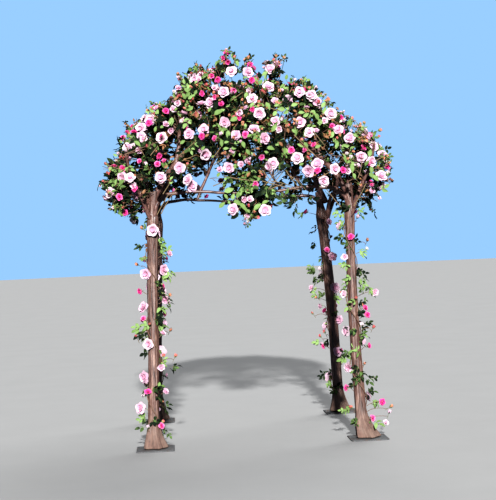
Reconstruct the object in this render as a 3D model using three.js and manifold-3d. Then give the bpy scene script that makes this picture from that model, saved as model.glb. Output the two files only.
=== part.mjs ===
// Garden arch: four bark-covered tree posts on thin steel plates. Their boughs meet overhead and
// carry a dome of artificial roses and leaves, and a rose garland winds round each post.
// Millimetres, +Z up. The origin is on the ground, midway between the four posts.
import * as THREE from "three";
import { mergeVertices } from "three/addons/utils/BufferGeometryUtils.js";
import Module from "manifold-3d";

const wasm = await Module();
wasm.setup();

// Driving dimensions of the whole arch
const HALF_SPACING = 900; // from the middle to a post's centre at the ground, across and in depth
const LEAN = 2; // degrees that each post leans inwards in depth
const SEAT_GAP = 0.3; // clearance between touching pieces

// Foot plates
const PLATE_SIDE = 320;
const PLATE_THICKNESS = 8;

// Trunks
const TRUNK_SIDES = 14;
const ROOT_RADIUS = 108;
const ROOT_HEIGHT = 240;
const ROOT_POWER = 1.5;
const ROOT_RIDGES = 5;
const ROOT_RIDGE_DEPTH = 14;
const FORK_HEIGHT = 1930;
const FORK_SWELL = 7;
const LEADER_FOOT = 2030;
const LEADER_TOP = 2175;
const LEADER_RADIUS = 34;
const BEND = 9; // how far a trunk wanders from a straight line
const BEND_LENGTH = 380;
const TRUNK_RINGS = [0, 50, 110, 170, 240, 700, 1100, 1500, 1820, 1900, 1970, 2030, LEADER_TOP];

// Boughs: each route is given for the corner at +X +Y, in millimetres
const BOUGH_SIDES = 5;
const SPAN_ROUTE = [
  [845, 845, 1900],
  [800, 862, 2060],
  [715, 880, 2140],
  [500, 890, 2158],
  [300, 895, 2138],
  [0, 900, 2120],
];
const SPAN_FORK_ROUTE = [
  [430, 891, 2152],
  [370, 897, 2270],
  [290, 915, 2420],
];
const CROWN_ROUTE = [
  [835, 835, 2080],
  [720, 735, 2305],
  [520, 540, 2540],
  [285, 310, 2745],
  [95, 110, 2920],
];
const CROWN_FORK_ROUTE = [
  [625, 645, 2420],
  [590, 600, 2570],
  [570, 550, 2735],
];
const OUTER_ROUTE = [
  [845, 845, 1905],
  [910, 905, 2080],
  [990, 985, 2260],
  [1040, 1050, 2480],
];
const SPAN_RADII = [21, 9];
const FORK_RADII = [14, 8];
const CROWN_RADII = [27, 14];
const CROWN_FORK_RADII = [21, 13];
const OUTER_RADII = [20, 11];

// Garlands
const GARLAND_TOP = 1880;
const GARLAND_FOOT = 150;
const GARLAND_TURNS = 3;
const GARLAND_HEADS = 8;
const VINE_RADIUS = 9;
const VINE_CLEARANCE = 7;
const VINE_SIDES = 4;
const VINE_STEPS = 24;
const HEAD_RADIUS = 60;
const LEAF_REACH = 76;
const LEAF_DEPTH = 62;

// Dome of foliage: rings of clumps on a rounded square plan, from the rim up to the crown
const PLAN_POWER = 4; // 2 is a circle, more is squarer
const CLUMP_BUMP = 0.13;
const RIM = { halfWidth: 1122, height: 2285, radius: 166 };
const SHOULDER = { halfWidth: 1010, height: 2530, radius: 175 };
const UPPER = { halfWidth: 815, height: 2725, radius: 185 };
const HAUNCH = { halfWidth: 570, height: 2915, radius: 215 };
const CROWN = { halfWidth: 315, height: 3080, radius: 215 };
const CROWN_PEAKS = [
  [0, 0, 3190, 200],
  [-120, -10, 3335, 135],
  [-380, -90, 3195, 160],
  [290, 20, 3270, 135],
];
const LOW_SPRAY = [1080, 1010, 2125, 140];
// Hanging cluster at the middle of the front and of the back: place and radius of each clump
const HANGING = [
  [-20, 960, 2330, 150],
  [-150, 960, 2130, 115],
  [-20, 965, 2020, 125],
  [110, 960, 2110, 120],
  [20, 950, 2200, 130],
];

// Each tree's side of the middle, where its bends and its garland start in radians, how many
// degrees it leans inwards across, how far along X it stands off the middle of its plate, and
// its trunk's radius above the root and how much of that it loses by the fork
const CORNERS = [
  { name: "front_left", sx: -1, sy: -1, phase: 0.4, lean: 2.8, drift: -28, girth: 47, taper: 2 },
  { name: "front_right", sx: 1, sy: -1, phase: 1.9, lean: 0.45, drift: -56, girth: 50, taper: 13 },
  { name: "back_left", sx: -1, sy: 1, phase: 3.1, lean: 2, drift: 0, girth: 49, taper: 4 },
  { name: "back_right", sx: 1, sy: 1, phase: 4.6, lean: 3.3, drift: 0, girth: 51, taper: 5 },
];

const STEEL = { color: 0x7c7f82, roughness: 0.45, metalness: 0.85 };
const BARK = { color: 0x6b4334, roughness: 0.85, metalness: 0 };
const BOUGH_BARK = { color: 0x4c2f28, roughness: 0.85, metalness: 0 };
const PETALS = { color: 0xf2a9cd, roughness: 0.8, metalness: 0 };
const LEAVES = { color: 0x4f7a35, roughness: 0.75, metalness: 0 };

// Solids

function solidFrom(geometry) {
  geometry.deleteAttribute("normal");
  geometry.deleteAttribute("uv");
  const merged = mergeVertices(geometry, 1e-3);
  return new wasm.Manifold(
    new wasm.Mesh({
      numProp: 3,
      vertProperties: merged.attributes.position.array,
      triVerts: new Uint32Array(merged.index.array),
    }),
  );
}

function joined(solids) {
  return solids.reduce((whole, solid) => whole.add(solid));
}

// A closed solid lofted through rings. place gives a point from the turn round the ring, the
// ring's number and how far across it the point is, from 0 at its centre to 1 at its rim.
function loft(sides, steps, place) {
  const geometry = new THREE.CylinderGeometry(1, 1, 1, sides, steps);
  const position = geometry.attributes.position;
  for (let i = 0; i < position.count; i++) {
    const x = position.getX(i);
    const z = position.getZ(i);
    const step = Math.round((position.getY(i) + 0.5) * steps);
    const point = place(Math.atan2(-z, x), step, Math.hypot(x, z));
    position.setXYZ(i, point.x, point.y, point.z);
  }
  return solidFrom(geometry);
}

// A round tube along a curve, its radius running evenly from the first to the last of radii
function taperedTube(curve, radii, sides, steps, grow) {
  const frames = curve.computeFrenetFrames(steps, false);
  return loft(sides, steps, (turn, step, across) => {
    const share = step / steps;
    const radius = across * (THREE.MathUtils.lerp(radii[0], radii[1], share) + grow);
    return curve
      .getPointAt(share)
      .addScaledVector(frames.binormals[step], radius * Math.cos(turn))
      .addScaledVector(frames.normals[step], -radius * Math.sin(turn));
  });
}

// Trunks

// How much of the root's flare there is at a height, from 1 at the ground
function rootShare(z) {
  return Math.max(0, 1 - z / ROOT_HEIGHT);
}

function trunkAxis(corner, z) {
  const across = HALF_SPACING - Math.tan(THREE.MathUtils.degToRad(corner.lean)) * z;
  const deep = HALF_SPACING - Math.tan(THREE.MathUtils.degToRad(LEAN)) * z;
  const wander = BEND * Math.sin(z / BEND_LENGTH + corner.phase);
  const aside = wander + corner.drift * (1 - rootShare(z) ** 2);
  return new THREE.Vector3(corner.sx * across + aside, corner.sy * deep - wander, z);
}

function trunkRadius(corner, z, turn) {
  const root = rootShare(z);
  const flare = (ROOT_RADIUS - corner.girth) * root ** ROOT_POWER;
  const ridges = ROOT_RIDGE_DEPTH * root * Math.cos(ROOT_RIDGES * turn);
  const swell = FORK_SWELL * Math.exp(-(((z - FORK_HEIGHT) / 110) ** 2));
  const trunk = corner.girth - corner.taper * Math.min(1, z / FORK_HEIGHT);
  const leader = THREE.MathUtils.smoothstep(z, FORK_HEIGHT, LEADER_FOOT);
  return THREE.MathUtils.lerp(trunk + flare + ridges + swell, LEADER_RADIUS, leader);
}

function trunk(corner, grow) {
  const top = TRUNK_RINGS.length - 1;
  return loft(TRUNK_SIDES, top, (turn, step, across) => {
    const lift = step === 0 ? PLATE_THICKNESS + SEAT_GAP - grow : step === top ? grow : 0;
    const radius = across * (trunkRadius(corner, TRUNK_RINGS[step], turn) + grow);
    const centre = trunkAxis(corner, TRUNK_RINGS[step]);
    centre.x += radius * Math.cos(turn);
    centre.y += radius * Math.sin(turn);
    centre.z += lift;
    return centre;
  });
}

function footPlate(corner, grow) {
  const side = PLATE_SIDE + 2 * grow;
  const plate = new THREE.BoxGeometry(side, side, PLATE_THICKNESS + grow);
  const [x, y] = [corner.sx * HALF_SPACING, corner.sy * HALF_SPACING];
  plate.translate(x, y, (PLATE_THICKNESS + grow) / 2);
  return solidFrom(plate);
}

// Boughs

function curveThrough(route, corner, swap) {
  const points = route.map(([x, y, z]) => {
    const [across, deep] = swap ? [y, x] : [x, y];
    return new THREE.Vector3(corner.sx * across, corner.sy * deep, z);
  });
  return new THREE.CatmullRomCurve3(points);
}

function bough(corner, limbs, swap, grow) {
  return joined(
    limbs.map(([route, radii]) =>
      taperedTube(
        curveThrough(route, corner, swap),
        radii,
        BOUGH_SIDES,
        2 * (route.length - 1),
        grow,
      ),
    ),
  );
}

const SPAN_LIMBS = [
  [SPAN_ROUTE, SPAN_RADII],
  [SPAN_FORK_ROUTE, FORK_RADII],
];
const CROWN_LIMBS = [
  [CROWN_ROUTE, CROWN_RADII],
  [CROWN_FORK_ROUTE, CROWN_FORK_RADII],
];
const OUTER_LIMBS = [[OUTER_ROUTE, OUTER_RADII]];

// Garlands

class VineCurve extends THREE.Curve {
  constructor(corner) {
    super();
    this.corner = corner;
  }

  getPoint(share) {
    const z = THREE.MathUtils.lerp(GARLAND_TOP, GARLAND_FOOT, share);
    const turn = this.corner.phase + 2 * Math.PI * GARLAND_TURNS * share;
    const radius = trunkRadius(this.corner, z, turn) + VINE_RADIUS + VINE_CLEARANCE;
    const point = trunkAxis(this.corner, z);
    point.x += radius * Math.cos(turn);
    point.y += radius * Math.sin(turn);
    return point;
  }
}

function lump(geometry, centre, radii, seed, grow) {
  const position = geometry.attributes.position;
  const point = new THREE.Vector3();
  for (let i = 0; i < position.count; i++) {
    point.fromBufferAttribute(position, i);
    const bump = 1 + CLUMP_BUMP * Math.sin(3 * point.x + seed) * Math.cos(4 * point.y + 2 * seed);
    position.setXYZ(
      i,
      centre.x + point.x * (radii.x * bump + grow),
      centre.y + point.y * (radii.y * bump + grow),
      centre.z + point.z * (radii.z * bump + grow),
    );
  }
  return solidFrom(geometry);
}

function garland(corner, grow) {
  const curve = new VineCurve(corner);
  const pieces = [taperedTube(curve, [VINE_RADIUS, VINE_RADIUS], VINE_SIDES, VINE_STEPS, grow)];
  for (let i = 0; i < GARLAND_HEADS; i++) {
    const head = curve.getPoint((i + 0.5) / GARLAND_HEADS);
    const leaf = curve.getPoint((i + 1) / GARLAND_HEADS);
    const away = head.clone().sub(trunkAxis(corner, head.z)).normalize();
    const leafAway = leaf.clone().sub(trunkAxis(corner, leaf.z)).normalize();
    head.addScaledVector(away, 0.6 * HEAD_RADIUS);
    leaf.addScaledVector(leafAway, 0.4 * LEAF_REACH);
    const round = new THREE.Vector3().setScalar(HEAD_RADIUS);
    const flat = new THREE.Vector3(LEAF_REACH, LEAF_REACH, LEAF_DEPTH);
    pieces.push(lump(new THREE.IcosahedronGeometry(1, 0), head, round, i, grow));
    pieces.push(lump(new THREE.OctahedronGeometry(1, 0), leaf, flat, i, grow));
  }
  return joined(pieces);
}

// Foliage

// The middle of a clump on a ring of the dome, at an angle in degrees round the plan
function onDome(ring, degrees) {
  const angle = THREE.MathUtils.degToRad(degrees);
  const across = Math.abs(Math.cos(angle)) ** PLAN_POWER;
  const deep = Math.abs(Math.sin(angle)) ** PLAN_POWER;
  const reach = ring.halfWidth * (across + deep) ** (-1 / PLAN_POWER);
  return [reach * Math.cos(angle), reach * Math.sin(angle), ring.height, ring.radius];
}

function clumps(places, seed, grow) {
  return joined(
    places.map(([x, y, z, radius], i) => {
      const shape = new THREE.DodecahedronGeometry(1, 0);
      shape.rotateX(seed + i);
      shape.rotateZ(2 * seed + 3 * i);
      const centre = new THREE.Vector3(x, y, z);
      return lump(shape, centre, new THREE.Vector3().setScalar(radius), seed + i, grow);
    }),
  );
}

function cornerAngle(corner) {
  return THREE.MathUtils.radToDeg(Math.atan2(corner.sy, corner.sx));
}

function cornerPlaces(corner) {
  const middle = cornerAngle(corner);
  const [x, y, z, radius] = LOW_SPRAY;
  return [
    ...[-20, -10, 0, 10, 20].map((turn) => onDome(RIM, middle + turn)),
    ...[-15, 0, 15].map((turn) => onDome(SHOULDER, middle + turn)),
    onDome(UPPER, middle),
    [corner.sx * x, corner.sy * y, z, radius],
  ];
}

function sidePlaces(middle) {
  return [
    ...[-15, 0, 15].map((turn) => onDome(SHOULDER, middle + turn)),
    ...[-23, 0, 23].map((turn) => onDome(UPPER, middle + turn)),
  ];
}

function crownPlaces(corner) {
  const middle = cornerAngle(corner);
  return [
    ...[-30, 0, 30].map((turn) => onDome(HAUNCH, middle + turn)),
    onDome(CROWN, middle),
  ];
}

function crownTopPlaces() {
  return [...CROWN_PEAKS, ...[0, 90, 180, 270].map((angle) => onDome(CROWN, angle))];
}

function hangingPlaces(side) {
  return HANGING.map(([x, y, z, radius]) => [-side * x, side * y, z, radius]);
}

// Assembly: every piece is cut back from the pieces already placed, with the seat gap between

const arch = new THREE.Group();
const placed = [];

function near(a, b) {
  return [0, 1, 2].every((i) => a.min[i] < b.max[i] && b.min[i] < a.max[i]);
}

function largestBody(solid) {
  const bodies = solid.decompose();
  return bodies.reduce((best, body) => (body.volume() > best.volume() ? body : best));
}

// make(grow) builds the piece, swollen by grow on every side
function place(name, finish, make) {
  const swollen = make(SEAT_GAP);
  const box = swollen.boundingBox();
  const neighbours = placed.filter((other) => near(box, other.box));
  const cut = neighbours.reduce((solid, other) => solid.subtract(other.swollen), make(0));
  const mesh = largestBody(cut).getMesh();
  const geometry = new THREE.BufferGeometry();
  geometry.setAttribute("position", new THREE.BufferAttribute(mesh.vertProperties, 3));
  geometry.setIndex(new THREE.BufferAttribute(mesh.triVerts, 1));
  geometry.computeVertexNormals();
  const piece = new THREE.Mesh(geometry, new THREE.MeshStandardMaterial(finish));
  piece.name = name;
  arch.add(piece);
  placed.push({ box, swollen });
}

for (const corner of CORNERS) {
  place("foot_plate_" + corner.name, STEEL, (grow) => footPlate(corner, grow));
  place("trunk_" + corner.name, BARK, (grow) => trunk(corner, grow));
}
for (const corner of CORNERS) {
  const { name } = corner;
  place("span_bough_" + name, BOUGH_BARK, (grow) => bough(corner, SPAN_LIMBS, false, grow));
  place("side_bough_" + name, BOUGH_BARK, (grow) => bough(corner, SPAN_LIMBS, true, grow));
  place("crown_bough_" + name, BOUGH_BARK, (grow) => bough(corner, CROWN_LIMBS, false, grow));
  place("outer_bough_" + name, BOUGH_BARK, (grow) => bough(corner, OUTER_LIMBS, false, grow));
  place("garland_" + name, PETALS, (grow) => garland(corner, grow));
}
CORNERS.forEach((corner, i) =>
  place("corner_foliage_" + corner.name, LEAVES, (grow) => clumps(cornerPlaces(corner), i, grow)),
);
place("front_hanging_cluster", LEAVES, (grow) => clumps(hangingPlaces(-1), 5, grow));
place("back_hanging_cluster", LEAVES, (grow) => clumps(hangingPlaces(1), 6, grow));
["right", "back", "left", "front"].forEach((side, i) =>
  place(side + "_foliage", LEAVES, (grow) => clumps(sidePlaces(90 * i), 7 + i, grow)),
);
CORNERS.forEach((corner, i) =>
  place("crown_foliage_" + corner.name, LEAVES, (grow) =>
    clumps(crownPlaces(corner), 11 + i, grow),
  ),
);
place("crown_top_foliage", LEAVES, (grow) => clumps(crownTopPlaces(), 15, grow));

export default arch;
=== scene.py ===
"""Dresses the garden arch: bark posts on steel plates, boughs and a dome of artificial roses.

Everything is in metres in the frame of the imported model: +Z is up and the front faces -Y.
"""

import logging
import math
from dataclasses import dataclass, field
from enum import Enum
from typing import Callable, Iterable, Sequence, TypeVar

import bpy
import numpy as np
from mathutils import Matrix, Vector, noise
from mathutils.bvhtree import BVHTree


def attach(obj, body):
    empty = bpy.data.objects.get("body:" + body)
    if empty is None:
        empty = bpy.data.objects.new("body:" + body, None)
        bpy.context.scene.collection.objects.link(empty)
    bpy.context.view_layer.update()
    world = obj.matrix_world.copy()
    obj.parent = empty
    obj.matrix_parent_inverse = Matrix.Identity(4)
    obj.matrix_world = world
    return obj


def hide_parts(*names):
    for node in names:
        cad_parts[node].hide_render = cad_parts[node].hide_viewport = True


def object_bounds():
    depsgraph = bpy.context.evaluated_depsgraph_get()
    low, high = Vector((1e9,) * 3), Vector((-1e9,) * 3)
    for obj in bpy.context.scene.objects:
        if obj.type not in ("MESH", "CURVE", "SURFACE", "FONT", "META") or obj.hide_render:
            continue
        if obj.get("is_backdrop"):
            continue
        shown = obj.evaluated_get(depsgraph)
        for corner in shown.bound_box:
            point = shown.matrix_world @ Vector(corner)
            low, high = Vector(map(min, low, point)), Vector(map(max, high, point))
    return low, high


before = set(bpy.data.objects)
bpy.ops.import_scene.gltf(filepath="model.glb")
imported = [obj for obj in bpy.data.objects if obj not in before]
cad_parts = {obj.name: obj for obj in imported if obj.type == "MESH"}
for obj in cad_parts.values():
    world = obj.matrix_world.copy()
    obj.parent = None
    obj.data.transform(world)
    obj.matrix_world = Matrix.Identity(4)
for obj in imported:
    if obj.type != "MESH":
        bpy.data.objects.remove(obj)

logging.basicConfig(level=logging.INFO, format="%(name)s: %(message)s")
log = logging.getLogger("garden_arch")
noise.seed_set(1)

CAD_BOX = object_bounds()
BODY = "root"
UP = Vector((0.0, 0.0, 1.0))
Pair = tuple[float, float]
PixelPoint = tuple[float, float]
Colour = tuple[float, float, float]
Piece = bpy.types.Object
Material = bpy.types.Material
Node = bpy.types.Node
Socket = bpy.types.NodeSocket
Generator = np.random.Generator


# Sizes and places shared by the pieces


class Corner(Enum):
    """One of the four trees: the name of its nodes, its side of the middle, and how it stands."""

    FRONT_LEFT = ("front_left", -1, -1, 0.4, 2.8, -0.028, 0.047, 0.002)
    FRONT_RIGHT = ("front_right", 1, -1, 1.9, 0.45, -0.056, 0.050, 0.013)
    BACK_LEFT = ("back_left", -1, 1, 3.1, 2.0, 0.0, 0.049, 0.004)
    BACK_RIGHT = ("back_right", 1, 1, 4.6, 3.3, 0.0, 0.051, 0.005)

    def __init__(self, label: str, across: int, deep: int, *measures: float) -> None:
        """Keeps the facts of one tree.

        Args:
            label: The ending of the names of its nodes.
            across: -1 on the left, 1 on the right.
            deep: -1 at the front, 1 at the back.
            *measures: Where its bends and its garland start in radians, its lean inwards in
                degrees, how far along X it stands off its plate's middle, its radius above the
                root, and how much of that radius it loses by the fork.
        """
        self.label = label
        self.across = across
        self.deep = deep
        self.phase, self.lean, self.drift, self.girth, self.taper = measures

    def place(self, point: Sequence[float], swap: bool = False) -> Vector:
        """Turns a point given for the corner at +X +Y into this corner's.

        Args:
            point: The point.
            swap: Whether it is first swapped between across and in depth.

        Returns:
            The point at this corner.
        """
        x, y = (point[1], point[0]) if swap else (point[0], point[1])
        return Vector((self.across * x, self.deep * y, point[2]))


@dataclass(frozen=True)
class PostSizes:
    """How the trunks stand and how thick they are, in metres and degrees."""

    half_spacing: float = 0.9
    depth_lean: float = 2.0
    plate_side: float = 0.32
    plate_thickness: float = 0.008
    root_radius: float = 0.108
    root_height: float = 0.24
    root_power: float = 1.5
    root_ridges: int = 5
    root_ridge_depth: float = 0.014
    fork_height: float = 1.93
    fork_swell: float = 0.007
    fork_swell_height: float = 0.11
    leader_foot: float = 2.03
    leader_top: float = 2.175
    leader_radius: float = 0.034
    bend: float = 0.009
    bend_length: float = 0.38

    def axis(self, corner: Corner, z: float) -> Vector:
        """The middle of a trunk at a height.

        Args:
            corner: The tree.
            z: The height above the ground.

        Returns:
            The point on the trunk's bent axis.
        """
        across = self.half_spacing - math.tan(math.radians(corner.lean)) * z
        deep = self.half_spacing - math.tan(math.radians(self.depth_lean)) * z
        wander = self.bend * math.sin(z / self.bend_length + corner.phase)
        aside = wander + corner.drift * (1 - self.root(z) ** 2)
        return Vector((corner.across * across + aside, corner.deep * deep - wander, z))

    def root(self, z: float) -> float:
        """How much of the root's flare there is at a height, 1 at the ground and 0 above it."""
        return max(0.0, 1 - z / self.root_height)

    def radius(self, corner: Corner, z: float, turn: float = 0.0) -> float:
        """A trunk's radius, with the root's flare and ridges and the swelling at the fork.

        Args:
            corner: The tree.
            z: The height above the ground.
            turn: The angle round the trunk, in radians.

        Returns:
            The radius.
        """
        root = self.root(z)
        flare = (self.root_radius - corner.girth) * root**self.root_power
        ridges = self.root_ridge_depth * root * math.cos(self.root_ridges * turn)
        above_fork = (z - self.fork_height) / self.fork_swell_height
        swell = self.fork_swell * math.exp(-(above_fork**2))
        trunk = corner.girth - corner.taper * min(1.0, z / self.fork_height)
        share = clamped((z - self.fork_height) / (self.leader_foot - self.fork_height))
        leader = share * share * (3 - 2 * share)
        return (trunk + flare + ridges + swell) * (1 - leader) + self.leader_radius * leader


POSTS = PostSizes()


@dataclass(frozen=True)
class PhotoView:
    """The place and lens of the camera, in the photograph's frame of 496 by 500 pixels."""

    width: float = 496.0
    height: float = 500.0
    focal_pixels: float = 1288.0
    place: tuple[float, float, float] = (-0.66, -11.76, 1.66)
    yaw: float = 3.22
    pitch: float = -0.10
    roll: float = -2.57
    sensor: float = 36.0

    def axes(self) -> tuple[Vector, Vector, Vector]:
        """The camera's right, up and forward directions.

        Returns:
            The three directions.
        """
        yaw, pitch, roll = (math.radians(a) for a in (self.yaw, self.pitch, self.roll))
        level = math.cos(pitch)
        forward = Vector((math.sin(yaw) * level, math.cos(yaw) * level, math.sin(pitch)))
        right = Vector((math.cos(yaw), -math.sin(yaw), 0.0))
        up = right.cross(forward)
        turned_right = right * math.cos(roll) + up * math.sin(roll)
        turned_up = up * math.cos(roll) - right * math.sin(roll)
        return turned_right, turned_up, forward

    def ray(self, pixel: PixelPoint) -> tuple[Vector, Vector]:
        """The line of sight through a pixel, counted from the top left corner.

        Args:
            pixel: The pixel.

        Returns:
            The camera's place and the direction of sight.
        """
        right, up, forward = self.axes()
        across = (pixel[0] - self.width / 2) / self.focal_pixels
        above = (self.height / 2 - pixel[1]) / self.focal_pixels
        return Vector(self.place), (forward + right * across + up * above).normalized()

    def pixel(self, point: Vector) -> PixelPoint:
        """The pixel in which a point shows.

        Args:
            point: The point.

        Returns:
            The pixel.
        """
        right, up, forward = self.axes()
        away = point - Vector(self.place)
        scale = self.focal_pixels / away.dot(forward)
        return self.width / 2 + scale * away.dot(right), self.height / 2 - scale * away.dot(up)

    def at_depth(self, pixel: PixelPoint, depth: float) -> Vector:
        """The point at a place along Y that shows in a pixel."""
        origin, direction = self.ray(pixel)
        return origin + direction * ((depth - origin.y) / direction.y)

    def towards(self, point: Vector) -> Vector:
        """The direction from a point to the camera."""
        return (Vector(self.place) - point).normalized()

    def add_camera(self) -> None:
        """Makes the camera and sets it as the scene's."""
        right, up, forward = self.axes()
        data = bpy.data.cameras.new("photo_camera")
        data.sensor_width = self.sensor
        data.lens = self.focal_pixels / max(self.width, self.height) * self.sensor
        camera = new_object("photo_camera", data)
        turn = Matrix((right, up, -forward)).transposed().to_4x4()
        camera.matrix_world = Matrix.Translation(self.place) @ turn
        bpy.context.scene.camera = camera


VIEW = PhotoView()


# Helpers for modelling


def clamped(share: float) -> float:
    """A share kept between 0 and 1."""
    return min(1.0, max(0.0, share))


def new_object(name: str, data: bpy.types.ID) -> Piece:
    """An object of the scene that holds some data.

    Args:
        name: Its name.
        data: What it holds.

    Returns:
        The object.
    """
    piece = bpy.data.objects.new(name, data)
    bpy.context.scene.collection.objects.link(piece)
    return piece


def deselect() -> None:
    """Leaves nothing selected and no edit mode open."""
    if bpy.context.object is not None and bpy.context.object.mode != "OBJECT":
        bpy.ops.object.mode_set(mode="OBJECT")
    bpy.ops.object.select_all(action="DESELECT")


def choose(piece: Piece) -> None:
    """Selects one object alone and makes it the active one.

    Args:
        piece: The object.
    """
    deselect()
    piece.select_set(True)
    bpy.context.view_layer.objects.active = piece


def apply_modifiers(piece: Piece) -> None:
    """Applies every modifier of a piece, in order.

    Args:
        piece: The piece.
    """
    choose(piece)
    for modifier in list(piece.modifiers):
        bpy.ops.object.modifier_apply(modifier=modifier.name)


def shade_smooth_by_angle(piece: Piece, degrees: float) -> None:
    """Shades a piece smoothly, apart from edges sharper than an angle."""
    choose(piece)
    bpy.ops.object.shade_smooth_by_angle(angle=math.radians(degrees))


def in_box(point: Vector, grown: float = 0.06) -> bool:
    """Whether a place lies in the CAD model's box grown a little on every side."""
    low, high = CAD_BOX
    return all(low[i] - grown < point[i] < high[i] + grown for i in range(3))


def join(pieces: list[Piece], name: str) -> Piece:
    """Joins several objects into one.

    Args:
        pieces: The objects, of which the first is kept.
        name: The joined object's name.

    Returns:
        The joined object.
    """
    deselect()
    for piece in pieces:
        piece.select_set(True)
    bpy.context.view_layer.objects.active = pieces[0]
    if len(pieces) > 1:
        bpy.ops.object.join()
    pieces[0].name = name
    return pieces[0]


def move_points(piece: Piece, place: Callable[[Vector], Vector]) -> None:
    """Moves each point of a mesh by a function of its place.

    Args:
        piece: The mesh object.
        place: Gives a point's new place from its old one.
    """
    for vertex in piece.data.vertices:
        vertex.co = place(vertex.co.copy())
    piece.data.update()


def new_grid(name: str, across: int, along: int) -> Piece:
    """A flat unit grid with a UV map, from -0.5 to 0.5 both ways.

    Args:
        name: The grid's name.
        across: Its faces along X.
        along: Its faces along Y.

    Returns:
        The grid.
    """
    deselect()
    bpy.ops.mesh.primitive_grid_add(x_subdivisions=across, y_subdivisions=along, size=1)
    piece = bpy.context.active_object
    piece.name = name
    return piece


def merge_doubles(piece: Piece, reach: float = 1e-4) -> None:
    """Merges points that lie on each other, such as those of a leaf's tip.

    Args:
        piece: The mesh object.
        reach: How near the points have to be.
    """
    choose(piece)
    bpy.ops.object.mode_set(mode="EDIT")
    bpy.ops.mesh.select_all(action="SELECT")
    bpy.ops.mesh.remove_doubles(threshold=reach)
    bpy.ops.object.mode_set(mode="OBJECT")


def open_tube(
    radii: Pair, depth: float, sides: int, middle: Sequence[float], tilt: float = 0.0
) -> Piece:
    """A short tube without ends, such as a stalk or the cup under a flower.

    Args:
        radii: Its radius at the lower and the upper end.
        depth: How long it is.
        sides: How many sides it has.
        middle: Its middle.
        tilt: How far it leans from upright towards +X, in radians.

    Returns:
        The tube.
    """
    deselect()
    bpy.ops.mesh.primitive_cone_add(
        vertices=sides, radius1=radii[0], radius2=radii[1], depth=depth,
        end_fill_type="NOTHING", location=middle, rotation=(0, tilt, 0),
    )  # fmt: skip
    bpy.ops.object.transform_apply(location=True, rotation=True, scale=True)
    return bpy.context.active_object


def basis(z_axis: Vector, x_hint: Vector, place: Vector, size: float = 1.0) -> np.ndarray:
    """A 4 by 4 matrix that puts a shape somewhere, facing along z_axis.

    Args:
        z_axis: Where the shape's +Z goes.
        x_hint: Roughly where its +X goes.
        place: Where its origin goes.
        size: Its scale.

    Returns:
        The matrix.
    """
    z = z_axis.normalized()
    x = x_hint - z * x_hint.dot(z)
    if x.length < 1e-4:
        x = z.orthogonal()
    x.normalize()
    matrix = np.eye(4)
    for column, axis in enumerate((x, z.cross(x), z)):
        matrix[:3, column] = np.array(axis) * size
    matrix[:3, 3] = place
    return matrix


def read(items: Sequence[object], name: str, width: int = 1, kind: type = float) -> np.ndarray:
    """One value of every point, corner or face of a mesh.

    Args:
        items: What holds the value.
        name: The value's name.
        width: How many numbers it has.
        kind: The numbers' type.

    Returns:
        The numbers, in rows where there are several.
    """
    values = np.zeros(len(items) * width, kind)
    items.foreach_get(name, values)
    return values if width == 1 else values.reshape(-1, width)


# Shapes that are stamped many times into joined meshes


@dataclass(frozen=True)
class Template:
    """One small shape: its points, faces, UVs, and the slot and layer of each part.

    The layer is 0 at a flower's heart and 1 at its rim, or a leaflet's own shade.
    """

    points: np.ndarray
    corners: np.ndarray
    sizes: np.ndarray
    slots: np.ndarray
    uvs: np.ndarray
    layers: np.ndarray

    @classmethod
    def of(cls, piece: Piece) -> "Template":
        """Reads a modelled shape and removes its object.

        Args:
            piece: The shape, with a UV map, a layer on its points and a slot on its faces.

        Returns:
            The template.
        """
        mesh = piece.data
        template = cls(
            points=read(mesh.vertices, "co", 3),
            corners=read(mesh.loops, "vertex_index", kind=np.int32),
            sizes=read(mesh.polygons, "loop_total", kind=np.int32),
            slots=read(mesh.attributes["slot"].data, "value", kind=np.int32),
            uvs=read(mesh.uv_layers[0].uv, "vector", 2),
            layers=read(mesh.attributes["layer"].data, "value"),
        )
        bpy.data.objects.remove(piece)
        return template


def mark(piece: Piece, layer: float, slot: int) -> None:
    """Gives a whole shape its layer and the material slot that it ends up in.

    Args:
        piece: The shape.
        layer: The layer of its points.
        slot: The slot of its faces.
    """
    layers = piece.data.attributes.new("layer", "FLOAT", "POINT")
    layers.data.foreach_set("value", [layer] * len(piece.data.vertices))
    slots = piece.data.attributes.new("slot", "INT", "FACE")
    slots.data.foreach_set("value", [slot] * len(piece.data.polygons))


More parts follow.
